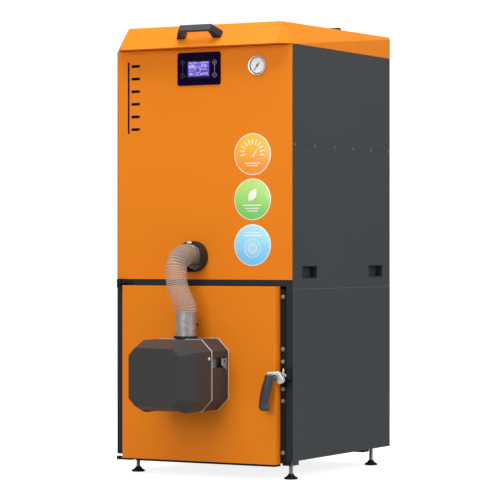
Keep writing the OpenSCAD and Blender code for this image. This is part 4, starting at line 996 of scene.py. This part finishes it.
# %% Knurled cover screw
KNURL_RIBS = 24
rib = prism([(-0.4, -0.5), (0.4, -0.5), (0, 0.3)], -4.4, -1.0, centre=ORIGIN)
grips = ring_of(rib, "zinc_parts", ORIGIN, 4.15, KNURL_RIBS, 0, 360 / KNURL_RIBS)
core = turned([(0, -5), (3.2, -5), (4.1, -4.4), (4.1, -1), (3.4, -0.3), (3, 0), (3, 8), (0, 8)],
              sides=48)
screw = merged(core, grips)
screw.transform(Matrix.Translation(at(101.5, -148, 357)) @ Matrix.Rotation(math.radians(90), 4, "Z"))
made("knurled_screw", screw, "cover_screw", "zinc_parts", ["cover_screw"], "bright_knob")
print("knurled screw with", KNURL_RIBS, "ribs")

# %% [markdown]
# ## The latch
# The door is held by a chromed lever with a pressed resin grip shaped like a banana.
# Cast and moulded parts have no hard joints between their limbs. Simple hulls are melted together
# with a voxel remesh and then smoothed, which gives the fillets that a boolean would lack.

# %% Melting hulls together


def ball_points(centre, radius, squash=(1, 1, 1)):
    """Points on a ball in mm, as the raw stuff of a hull."""
    points = []
    for ring in range(1, 8):
        tilt = math.pi * ring / 8
        for k in range(14):
            turn = 2 * math.pi * k / 14
            points.append((centre[0] + squash[0] * radius * math.sin(tilt) * math.cos(turn),
                           centre[1] + squash[1] * radius * math.sin(tilt) * math.sin(turn),
                           centre[2] + squash[2] * radius * math.cos(tilt)))
    return points


def disc_points(centre, radius, axis, reach):
    """Points on both rims of a round bar, which starts at centre and is reach mm long."""
    return [tuple(c + p for c, p in zip(centre, SPUN[axis](
        radius * math.cos(math.pi * k / 12), radius * math.sin(math.pi * k / 12), h)))
        for k in range(24) for h in (0, reach)]


def hull(*groups):
    """The tightest convex solid around groups of points in mm."""
    bm = bmesh.new()
    for group in groups:
        for point in group:
            bm.verts.new(at(*point))
    result = bmesh.ops.convex_hull(bm, input=bm.verts)
    bmesh.ops.delete(bm, geom=list({*result["geom_interior"], *result["geom_unused"]}),
                     context="VERTS")
    return mesh_of(bm)


def melted(name, mesh, slot, voxel_mm, rounds=6):
    """One skin around overlapping solids, smoothed where they meet."""
    obj = new_object(name, mesh, slot)
    skin = obj.modifiers.new("skin", "REMESH")
    skin.mode, skin.voxel_size = "VOXEL", voxel_mm * MM
    fair = obj.modifiers.new("fair", "SMOOTH")
    fair.factor, fair.iterations = 0.5, rounds
    baked(obj)
    obj.data.shade_smooth()
    return obj


print("hulls and melting ready")

# %% Lever and grip
lever = merged(
    turned([(5.4, -8), (8.5, -8), (8.5, -33), (0.01, -33), (0.01, -28.6), (5.4, -28.6)],
           (267, 0, 308), sides=48),
    hull(disc_points((270, -32, 308), 11.6, "Y", -13), disc_points((270, -33, 308), 12.5, "Y", -11),
         disc_points((279, -32, 296), 11.1, "Y", -13), disc_points((279, -33, 296), 12, "Y", -11)),
    hull(disc_points((270, -45, 315), 5, "Y", 3), disc_points((253.5, -62, 312), 6.5, "Z", 7)),
    hull(disc_points((253.5, -62, 294), 4.9, "Z", 20)),
    hull(disc_points((279, -20, 308), 3, "Z", 19)),
    hull([(x, y, z) for x in (267, 289.6) for y in (-23.7, -16.3) for z in (304.3, 311.7)]))
finished(melted("chromed_lever", lever, "lever_chrome", 0.7, 3), "latch",
         ["latch_lever"])
spine = [((253.5, -62, 302), 12), ((252, -62, 293), 13), ((248.6, -62, 281), 14.3),
         ((244.2, -62, 266), 14.7), ((240.6, -62, 250), 14.5), ((237.4, -62, 234), 14),
         ((235, -62, 218.5), 13.4), ((247.5, -62, 213.4), 8.7)]
flesh = merged(
    hull(disc_points((253.5, -62, 303), 11.8, "Z", 6.4), ball_points(spine[0][0], 12, (1, 1, 0.5))),
    hull(ball_points((253.5, -62, 301), 8.5), ball_points((265, -53, 300.5), 6.2)),
    *(hull(ball_points(*a), ball_points(*b)) for a, b in zip(spine, spine[1:])))
finished(melted("moulded_grip", flesh, "grip_bakelite", 0.9, 8), "latch",
         ["latch_grip"])
print("lever and grip melted")

# %% [markdown]
# ## Bolts, rivets and screws
# Hex bolts clamp the door's edge, blind rivets hold the side panels' seams,
# and pan-head screws hold the rear panel. Modelling each one where it sits would be slow to change.
# So each head is modelled once, around the origin, and the tree puts it in its places.

# %% One head of each kind


def hex_head(radius, height, washer):
    """A hex head with a chamfered top on its washer, facing -y, at the origin."""
    corners = [(radius * math.cos(math.pi * k / 3), radius * math.sin(math.pi * k / 3))
               for k in range(6)]
    head = prism(corners, -height, -0.9, centre=ORIGIN, edge=0.5)
    ring = turned([(0, -1.1), (washer - 0.3, -1.1), (washer, -0.8), (washer, 0), (0, 0)], sides=32)
    dish = turned([(0, -height - 0.2), (radius * 0.62, -height - 0.2), (radius * 0.76, -height + 0.4),
                   (0, -height + 0.4)], sides=24)
    return merged(head, ring, dish)


rivet_head = turned([(0, -0.5), (0.9, -0.5), (1.2, -0.68), (2.7, -0.55), (3.5, 0), (0, 0)], sides=20)
pan_head = turned([(0, -1.0), (1.4, -1.0), (1.7, -2.1), (3.2, -1.8), (4.2, -0.7), (4.2, 0), (0, 0)],
                  sides=24)
print("rivet and screw heads of", len(rivet_head.polygons), "and", len(pan_head.polygons), "faces")

# %% Heads in their places
DOOR_FOOT, DOOR_HEIGHT = 50, 507
BOLT_SHARES = [0.062, 0.36, 0.428, 0.585, 0.657, 0.957]
SEAM_LOW, SEAM_HIGH = 557.3, 979.3
RIVET_X = 299.3


def heads(name, places, head, body, slot, replaced=(), finish=None):
    """The same head on many places, as one piece. A place is a point in mm and its turn."""
    mesh = grow(on_points, spots(places), finish or slot, head)
    made(name, mesh, body, slot, replaced, finish)


bolt_spots = [((267, 1, DOOR_FOOT + DOOR_HEIGHT * share), (0, 0, 0)) for share in BOLT_SHARES]
seam_spots = [((side * RIVET_X, y, SEAM_HIGH), (0, 0, side * 90))
              for side in (1, -1) for y in (14, 141, 267, 395, 519, 643)]
rear_spots = [((x, 654, z), (0, 0, 180)) for x in (-285, 285) for z in (75, 330, 585, 840, 1095, 1250)]
heads("edge_bolts", bolt_spots, hex_head(6.2, 5.5, 6.5), "door", "zinc_parts", ["door_bolts"],
      "dull_bolt")
heads("seam_rivets", seam_spots, rivet_head, "cabinet", "zinc_parts", finish="bracket_steel")
heads("door_screw", [((-2.8, -30, 452), (0, 0, 0))], pan_head, "door", "plate_black",
      finish="rusty_screw")
heads("rear_screws", rear_spots, pan_head, "cabinet", "zinc_parts")
print(len(bolt_spots), "bolts,", len(seam_spots), "rivets,", len(rear_spots), "screws")

# %% [markdown]
# ## Strips behind the casing's joints
# Where two sheets of the casing meet, one looks through a thin gap onto the folded flange behind.
# The CAD model leaves such gaps open, so they would be black. A line could be painted there,
# but a thin strip behind each gap is right from every side and gives the joint its own tone.
# In the low seams the strip is light grey, a painted highlight for edges that catch the light.

# %% Strips behind the arc and in the side seams
backing = prism(box_outline(-160, 130, 1256, 1270.2), 3, 4, edge=0.3)
made("panel_backing", backing, "cabinet", "panel_orange")
# The low seams' strip is light grey: a painted highlight along their edges.
for name, z, half_gap, finish in (("low", SEAM_LOW, 0.25, "seam_grey"),
                                  ("high", SEAM_HIGH, 0.28, "casing_grey")):
    slit = box_outline(2, 651, z - half_gap, z + half_gap)
    strips = merged(prism(slit, 299, 299.7, "X"), prism(slit, -299.7, -299, "X"))
    made("seam_strips_" + name, strips, "cabinet", "casing_grey", finish=finish)
print("strips laid behind the arc and in four seams")

# %% [markdown]
# ## Levelling feet
# Each foot is a threaded rod in a moulded bell-shaped pad with a hex to turn it by.
# A true thread is a helix, which costs many faces for a part seen from metres away.
# The ribbed sweep with a rib for each turn looks the same from there.

# %% Four feet
FEET = {"foot_front_left": (-262, 59.5, "foot_fl"), "foot_front_right": (262, 59.5, "foot_fr"),
        "foot_rear_left": (-262, 594.5, "foot_rl"), "foot_rear_right": (262, 594.5, "foot_rr")}
ROD_FROM, ROD_STEP, ROD_RADIUS, THREAD_DEPTH, THREAD_PITCH = 6.1, 0.35, 6, 0.9, 1.75
bell = [(0, 0), (18.6, 0), (20, 1.2), (20, 4), (18.8, 5.4), (13.6, 8.2), (10.6, 11), (10, 12.4),
        (6.15, 12.4), (6.15, 6.05), (0, 6.05)]
for node, (x, y, body) in FEET.items():
    rod = [at(x, y, ROD_FROM + ROD_STEP * k) for k in range(212)]
    thread = swept(rod, "foot_zinc", ROD_RADIUS, THREAD_DEPTH, THREAD_PITCH, 24, caps=True)
    made(node + "_rod", thread, body, "foot_zinc", [node])
    nut = [(x + 10 * math.cos(math.pi * k / 3), y + 10 * math.sin(math.pi * k / 3)) for k in range(6)]
    hexagon = prism(nut, 12.2, 15.5, "Z", edge=0.6)
    made(node + "_pad", merged(turned(bell, (x, y, 0), "Z", 56), hexagon), body, "black_plastic")
print("four feet made")

# %% [markdown]
# ## The screen
# The controller is a pane of black glass with a lit picture behind it and touch rings beside it.
# A picture file would be the usual way. Here the picture is drawn by the shader from boxes
# and a ring, which are simple formulas on the object's own coordinates, and it glows by itself.

# %% A picture drawn by formulas
SCREEN = (-50.5, 21.5, 1186.5, 1230.0)
RIM = (-54, 27, 1179.5, 1234.5)
PRINT = (-4.1, -3.9)  # from where to where on y a print on the glass reaches
# The tiles and the ring are in shares of the screen: left, right, low and high.
TILES = [(0.04, 0.96, 0.88, 0.95), (0.05, 0.30, 0.55, 0.80), (0.05, 0.24, 0.33, 0.42),
         (0.05, 0.30, 0.12, 0.24), (0.62, 0.94, 0.62, 0.80), (0.66, 0.90, 0.44, 0.52),
         (0.58, 0.94, 0.10, 0.26), (0.36, 0.42, 0.60, 0.80), (0.36, 0.52, 0.08, 0.18)]
DIAL_SPOT, DIAL_SIZE = (0.46, 0.46), 0.15


def lit_picture(name):
    """A violet screen with pale tiles and one ring, which glows by itself."""
    f = Finish(name, rgb(30, 22, 60), 0.25, Emission_Strength=1.0)
    x0, x1, z0, z1 = (value * MM for value in SCREEN)
    across = (f.axis("X") - x0) / (x1 - x0)
    up = (f.axis("Z") - z0) / (z1 - z0)
    marks = None
    for left, right, low, high in TILES:
        tile = (across > left) * (across < right) * (up > low) * (up < high)
        marks = tile if marks is None else marks.maths("MAXIMUM", marks, tile)
    off = ((across - DIAL_SPOT[0]) ** 2.0 + ((up - DIAL_SPOT[1]) * 0.6) ** 2.0) ** 0.5
    ring = (off > DIAL_SIZE * 0.72) * (off < DIAL_SIZE)
    marks = marks.maths("MAXIMUM", marks, ring)
    glow = f.noise(42, 2.0)
    spots_here = f.window(f.noise(150, 3.0), 0.5, 0.62)
    back = f.mix(f.window(glow, 0.3, 0.7), rgb(84, 60, 180), rgb(136, 116, 228))
    face = f.mix(glow, rgb(172, 152, 246), rgb(226, 218, 255))
    lit = f.mix(marks * (0.45 + 0.4 * f.noise(90, 2.0)), back, face)
    f.put("Emission Color", f.mix(spots_here * 0.55, lit, rgb(58, 34, 128)))
    return f.material


finishes |= {
    "screen_picture": lit_picture("screen_picture"),
    "touch_print": moulded("touch_print", rgb(176, 160, 172), 0.4, 900, 0.004),
    "faint_print": moulded("faint_print", rgb(80, 68, 86), 0.4, 900, 0.004),
    "screen_rim": moulded("screen_rim", rgb(16, 12, 34), 0.4, 900, 0.004,
                          Specular_IOR_Level=0.1),
}
rounded_copy("display_glass", 1.1, 1.1, 3)
made("screen_picture", prism(box_outline(*SCREEN), -4.14, -3.9), "cabinet", "display_black",
     finish="screen_picture")
made("screen_rim", band_between(box_outline(*RIM), box_outline(*SCREEN), *PRINT), "cabinet",
     "display_black", finish="screen_rim")
print(len(TILES), "tiles on the screen")

# %% Touch rings and their lines
touch_ring = turned([(6.1, -0.1), (7, -0.1), (7, 0.1), (6.1, 0.1)], sides=48)
for side, x, z0, z1, ink in (("right", 40.1, 1188.5, 1226.8, "touch_print"),
                             ("left", -69, 1188.7, 1229, "faint_print")):
    rings = grow(on_points, spots([((x, -4, z), (0, 0, 0)) for z in (z0, z1)]), "display_black",
                 touch_ring)
    line = prism(box_outline(x - 0.5, x + 0.5, z0 + 7, z1 - 7), *PRINT)
    minus = prism(box_outline(x - 2.6, x + 2.6, z0 - 0.6, z0 + 0.6), *PRINT)
    arrow = prism([(x - 2.8, z1 - 2), (x + 2.8, z1 - 2), (x, z1 + 2.8)], *PRINT)
    made("touch_marks_" + side, merged(rings, line, minus, arrow), "cabinet", "display_black",
         finish=ink)
print("touch marks printed")

# %% [markdown]
# ## The thermometer
# A dial thermometer with a rolled bright bezel, a printed dial and a black needle.
# The needle is a CAD piece that turns. A printed picture would be the quick way to a dial,
# but it blurs close up. Here ticks are one small bar repeated on a ring,
# every fifth one longer, and the numbers are plain text turned into a mesh.

# %% Bezel and a ring of painted shade
GAUGE = (183, 0, 1212)
made("bezel", turned(
    [(26, 28), (26, 0.2), (28.6, 0.2), (29, -0.4), (29, -5.2), (28.5, -6.4), (27.4, -7), (26, -6.8),
     (25.1, -6.1), (24.6, -4.6), (24.4, -1.05), (1.3, -1.05), (1.3, 9.5), (3, 28)],
    GAUGE, sides=96, angle=28), "cabinet", "zinc_parts", ["gauge_case"], "polished_rim")
# The black ring inside the bezel is painted shade, for the shadowed inner slope of the rim.
shade_ring = turned([(22.4, -2.6), (24.2, -2.6), (24.2, -1.2), (22.4, -1.2)], GAUGE, sides=96)
made("dial_surround", shade_ring, "cabinet", "needle_black")
print("bezel and ring turned")

# %% Ticks and numbers
DIAL_FACE = (GAUGE[0], -2.05, GAUGE[2])
SCALE_FROM, SCALE_SWEEP = -135, 270
SMALL_TICKS, LARGE_TICKS = 41, 9
NUMBER_STEP, NUMBER_RADIUS, NUMBER_HEIGHT = 45, 15.2, 3.2


def bar(width, length):
    """A flat printed bar, 0.1 mm thick, centred on the origin and upright."""
    return prism(box_outline(-width / 2, width / 2, -length / 2, length / 2), -0.1, 0.05,
                 centre=ORIGIN)


def ticks(tick, radius, count):
    """Ticks spread evenly over the scale."""
    return ring_of(tick, "needle_black", DIAL_FACE, radius, count, SCALE_FROM,
                   SCALE_SWEEP / (count - 1))


def number(value, x, z, height):
    """A dial number as a flat mesh that faces the reader, 0.1 mm thick."""
    text = bpy.data.curves.new("number", "FONT")
    text.body, text.size = str(value), height * MM
    text.align_x, text.align_y, text.extrude = "CENTER", "CENTER", 0.05 * MM
    holder = linked("number", text)
    mesh = result_of(holder)
    bpy.data.objects.remove(holder)
    mesh.transform(Matrix.Translation(at(x, -2.1, z)) @ Matrix.Rotation(math.radians(90), 4, "X"))
    return mesh


small, large = ticks(bar(0.25, 1.3), 19.6, SMALL_TICKS), ticks(bar(0.45, 2.4), 19.1, LARGE_TICKS)
numbers = []
for k in range(SCALE_SWEEP // NUMBER_STEP + 1):
    turn = math.radians(SCALE_FROM + k * NUMBER_STEP)
    numbers.append(number(20 * k, GAUGE[0] + NUMBER_RADIUS * math.sin(turn),
                          GAUGE[2] + NUMBER_RADIUS * math.cos(turn), NUMBER_HEIGHT))
made("dial_print", merged(small, large, *numbers), "cabinet", "dial_white", finish="dial_ink")
print("dial with", SMALL_TICKS, "ticks and", len(numbers), "numbers")

# %% [markdown]
# ## Round stickers
# Three vinyl discs on the panel. Their colour runs from a light top to a deep bottom,
# with a thin white rim. Vinyl could be part of the panel's paint, but a real sticker has an edge.
# The marks are white vinyl too: an arc of bars, a leaf and a wheel, with bars for small print.

# %% The three discs
DISC_X, RIM_FROM = 166, 58.8
STICKERS = {
    "orange": (952.5, rgb(252, 188, 52), rgb(252, 150, 52)),
    "green": (820, rgb(186, 226, 118), rgb(124, 210, 102)),
    "blue": (686, rgb(170, 226, 244), rgb(118, 206, 252)),
}


def sticker(name, centre_z, top, bottom):
    """Glossy vinyl around that height, whose colour rises to a lighter top inside a white rim."""
    f = Finish(name, bottom, 0.34, Coat_Weight=0.2)
    height = f.axis("Z") - centre_z * MM
    off = ((f.axis("X") - DISC_X * MM) ** 2.0 + height ** 2.0) ** 0.5
    rise = f.window(height + 0.012 * f.noise(30, 2.0), -0.05, 0.055)
    body = f.mix(rise, bottom, top)
    f.put("Base Color", f.mix(off > RIM_FROM * MM, body, rgb(250, 250, 248)))
    f.put("Roughness", 0.3 + 0.1 * f.noise(60, 2.0))
    f.relief(f.noise(500, 2.0), 0.01)
    return f.material


for name, (z, top, bottom) in STICKERS.items():
    finishes["vinyl_" + name] = sticker("vinyl_" + name, z, top, bottom)
    disc = turned([(0, -0.5), (60, -0.5), (60.7, -0.3), (61, 0.1), (0, 0.1)], (DISC_X, 0, z),
                  sides=128)
    made("sticker_" + name, disc, "cabinet", "dial_white", finish="vinyl_" + name)
print(len(STICKERS), "stickers")

# %% Marks on the stickers
MARK = (-0.62, -0.4)  # from where to where on y a white mark reaches
WHEEL_Z, SPOKES = 677, 16


def small_print(*rows):
    """Bars that stand for small print. Each row is a height, a half length and a thickness."""
    return [prism(box_outline(DISC_X - half, DISC_X + half, z - thick / 2, z + thick / 2), *MARK)
            for z, half, thick in rows]


def leaf(z, length, width, lean=-0.6):
    """A pointed leaf, turned by lean radians: below zero it leans to the right."""
    side = [(width * math.sin(math.pi * k / 12), length * (k / 12 - 0.5)) for k in range(13)]
    outline = side + [(-a, b) for a, b in side[-2:0:-1]]
    c, s = math.cos(lean), math.sin(lean)
    return prism([(DISC_X + a * c - b * s, z + a * s + b * c) for a, b in outline], *MARK)


arc = ring_of(bar(3.2, 15), "dial_white", (DISC_X, -0.55, 956), 33, 11, -100, 20)
pointer = prism([(163, 944), (169, 944), (184, 970)], *MARK)
wheel = ring_of(bar(0.9, 22), "dial_white", (DISC_X, -0.55, WHEEL_Z), 15, SPOKES, 0, 360 / SPOKES)
low, high = MARK
rims = [turned([(r - 0.6, low), (r + 0.6, low), (r + 0.6, high), (r - 0.6, high)],
               (DISC_X, 0, WHEEL_Z), sides=96) for r in (14, 27)]
marks = {
    "orange": [arc, pointer, *small_print((926, 26, 2.4), (919, 18, 2.4))],
    "green": [leaf(833, 44, 12), *small_print((803, 30, 3), (794, 24, 2.4), (786, 18, 2.4))],
    "blue": [wheel, *rims, *small_print((722, 22, 3), (714, 30, 3))],
}
for name, shapes in marks.items():
    made("marks_" + name, merged(*shapes), "cabinet", "dial_white", finish="white_vinyl")
print("marks on", len(marks), "stickers")

# %% [markdown]
# ## Handle, flue and pipes
# The lid's handle is a moulded bridge, so its edges are far rounder than the sheet's.
# It could be melted like the latch, but it has crisp outlines, so a wide bevel suits it better.
# The flue has a bead near its end, and the water pipes have a cut thread from the same sweep.

# %% Handle with screw covers
FACET_TILT = math.atan2(68, 46)  # the lid's front facet rises 68 mm over 46 mm
COVER_X, COVER_UP, COVER_LEAN = 67, 17.5, math.radians(58)
to_facet = Matrix.Translation(at(0, -20, 1305)) @ Matrix.Rotation(FACET_TILT, 4, "X")
rounded_copy("lid_handle", 2.6, 2.6, 4)
caps = []
for side in (-1, 1):
    cap = turned([(0, 0), (4.4, 0), (4.4, 0.5), (3.6, 0.9), (2.6, 0.6), (0, 0.6)], axis="Z", sides=32)
    on_leg = Matrix.Translation(Vector((side * COVER_X, 0, COVER_UP)) * MM)
    cap.transform(to_facet @ on_leg @ Matrix.Rotation(side * COVER_LEAN, 4, "Y"))
    caps.append(cap)
made("handle_screw_covers", merged(*caps), "lid", "handle_grey", finish="black_plastic")
print("handle tilted by", round(math.degrees(FACET_TILT), 1), "degrees")

# %% Flue bead and pipe threads
bead = turned([(64.8, 718), (65.4, 718.6), (66.6, 721), (66.6, 723), (65.4, 725.4), (64.8, 726)],
              (0, 0, 1185), sides=96)
made("flue_bead", bead, "cabinet", "steel_tube")
PIPES = ((-150, 1085, 17.1), (150, 108, 17.1), (-150, 108, 10.9))
threads = []
for x, z, radius in PIPES:
    line = [at(x, 686.5 + 0.4 * k, z) for k in range(43)]
    threads.append(swept(line, "fittings_brass", radius, dip=0.9, pitch=2.3, sides=40))
made("pipe_threads", merged(*threads), "cabinet", "fittings_brass")
print("bead and", len(threads), "threads")

# %% [markdown]
# ## Rope gasket
# A braided glass rope seals the door against the vessel. It runs in a rounded rectangle.
# Modelled strands would cost far too many faces for a part that shows only with the door open.
# The sweep is used once more, without ribs, and its attributes carry the braid's pattern.

# %% The rope along its rectangle
ROPE_Y, ROPE_RADIUS, ROPE_STEP = 15.3, 10, 6


def rounded_path(x, z0, z1, corner):
    """A rounded rectangle from -x to x and z0 to z1, as points in metres."""
    points = []
    for cx, cz, start in ((x - corner, z1 - corner, 0), (-x + corner, z1 - corner, 90),
                          (-x + corner, z0 + corner, 180), (x - corner, z0 + corner, 270)):
        for k in range(9):
            turn = math.radians(start + 90 * k / 8)
            points.append(Vector((cx + corner * math.cos(turn), cz + corner * math.sin(turn))))
    dense = []
    for a, b in zip(points, points[1:] + points[:1]):
        count = max(1, round((b - a).length / ROPE_STEP))
        dense += [a + (b - a) * j / count for j in range(count)]
    return [at(p.x, ROPE_Y, p.y) for p in dense]


rope = swept(rounded_path(192, 118, 518, 16), "gasket_rope", ROPE_RADIUS, closed=True, sides=28)
made("rope_gasket", rope, "door", "gasket_rope", ["door_gasket"])
rounded_copy("lid_gasket", 3.0, 3.0, 3)
print(len(rope.polygons), "faces on the rope")

# %% [markdown]
# ## Camera, floor and light
# The camera stands where the photograph's did, level and far away, with a long lens.
# The floor is plain and pale. A bent backdrop would do as well, but a wide floor with a faint glow
# needs no corner. Light comes from large soft panels in front, above and beside,
# so the sheet shows broad gentle gradients and no hard reflection.

# %% Camera
camera_data = bpy.data.cameras.new("camera")
camera_data.lens = 174.2
camera = linked("camera", camera_data)
camera.location = (3.5745, -6.4439, 0.6717)
camera.rotation_euler = (math.pi / 2, 0, math.radians(28.81))
scene = bpy.context.scene
scene.camera = camera
scene.view_settings.view_transform = "Standard"
print("camera at", tuple(round(c, 2) for c in camera.location))

# %% Floor
FLOOR_HALF = 40.0  # metres
BLACK, WHITE = (0, 0, 0, 1), (1, 1, 1, 1)


def pale_floor(name):
    """Pale grey that glows a little more with distance, so that it has no far edge."""
    f = Finish(name, rgb(200, 200, 200), 0.8, Specular_IOR_Level=0.0, Emission_Strength=1.0)
    far = (f.axis("X") ** 2.0 + (f.axis("Y") - 0.1) ** 2.0) ** 0.5
    glow = (0.86 + 0.3 * f.window(far, 0.4, 1.8)) * f.add("ShaderNodeLightPath", out="Is Camera Ray")
    f.put("Base Color", f.mix(f.noise(3, 3.0), rgb(184, 184, 184), rgb(190, 190, 190)))
    f.put("Emission Color", f.mix(glow, BLACK, WHITE))
    return f.material


finishes["floor"] = pale_floor("pale_floor")
floor_mesh = bpy.data.meshes.new("floor")
floor_mesh.from_pydata([(x * FLOOR_HALF, y * FLOOR_HALF, 0) for x, y in box_outline(-1, 1, -1, 1)],
                       [], [(0, 1, 2, 3)])
floor = new_object("floor", floor_mesh, "floor")
floor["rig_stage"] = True
print("floor laid")

# %% World and panels
world = bpy.data.worlds.new("studio")
scene.world = world
world.use_nodes = True
sky = Graph(world.node_tree)
background = world.node_tree.nodes["Background"]
seen = sky.add("ShaderNodeLightPath", out="Is Camera Ray")
sky.feed(background.inputs["Color"], sky.add(
    "ShaderNodeMix", {"data_type": "RGBA"}, {0: seen, 6: (0.9, 0.93, 1.0, 1.0), 7: WHITE}, out=2))
sky.feed(background.inputs["Strength"], 0.45 + 0.75 * seen)


def panel_light(name, place, target, size, power, colour=(1, 1, 1)):
    """A soft rectangular lamp that faces its target. Its power is in watts."""
    light = bpy.data.lights.new(name, "AREA")
    light.shape, light.size, light.size_y = "RECTANGLE", size[0], size[1]
    light.energy, light.color = power, colour
    lamp = linked(name, light)
    lamp.location = place
    lamp.rotation_euler = (Vector(target) - Vector(place)).to_track_quat("-Z", "Y").to_euler()


panel_light("key", (0.1, -4.5, 1.8), (0, 0, 0.95), (2.4, 2.0), 78, (1.0, 0.98, 0.95))
panel_light("top", (0.2, -0.6, 3.6), (0, 0, 1.2), (2.4, 2.4), 96)
panel_light("side", (3.8, 0.2, 2.3), (0.2, 0.1, 0.8), (2.0, 2.4), 66, (0.98, 0.99, 1.0))
print("three panels lit")

# %% [markdown]
# ## Sizes
# The dressed model's size is measured over all its shown pieces and printed.

# %% Measure the sizes
low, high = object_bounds()
print("the dressed model is", [round((h - l) * 1000) for l, h in zip(low, high)], "mm")
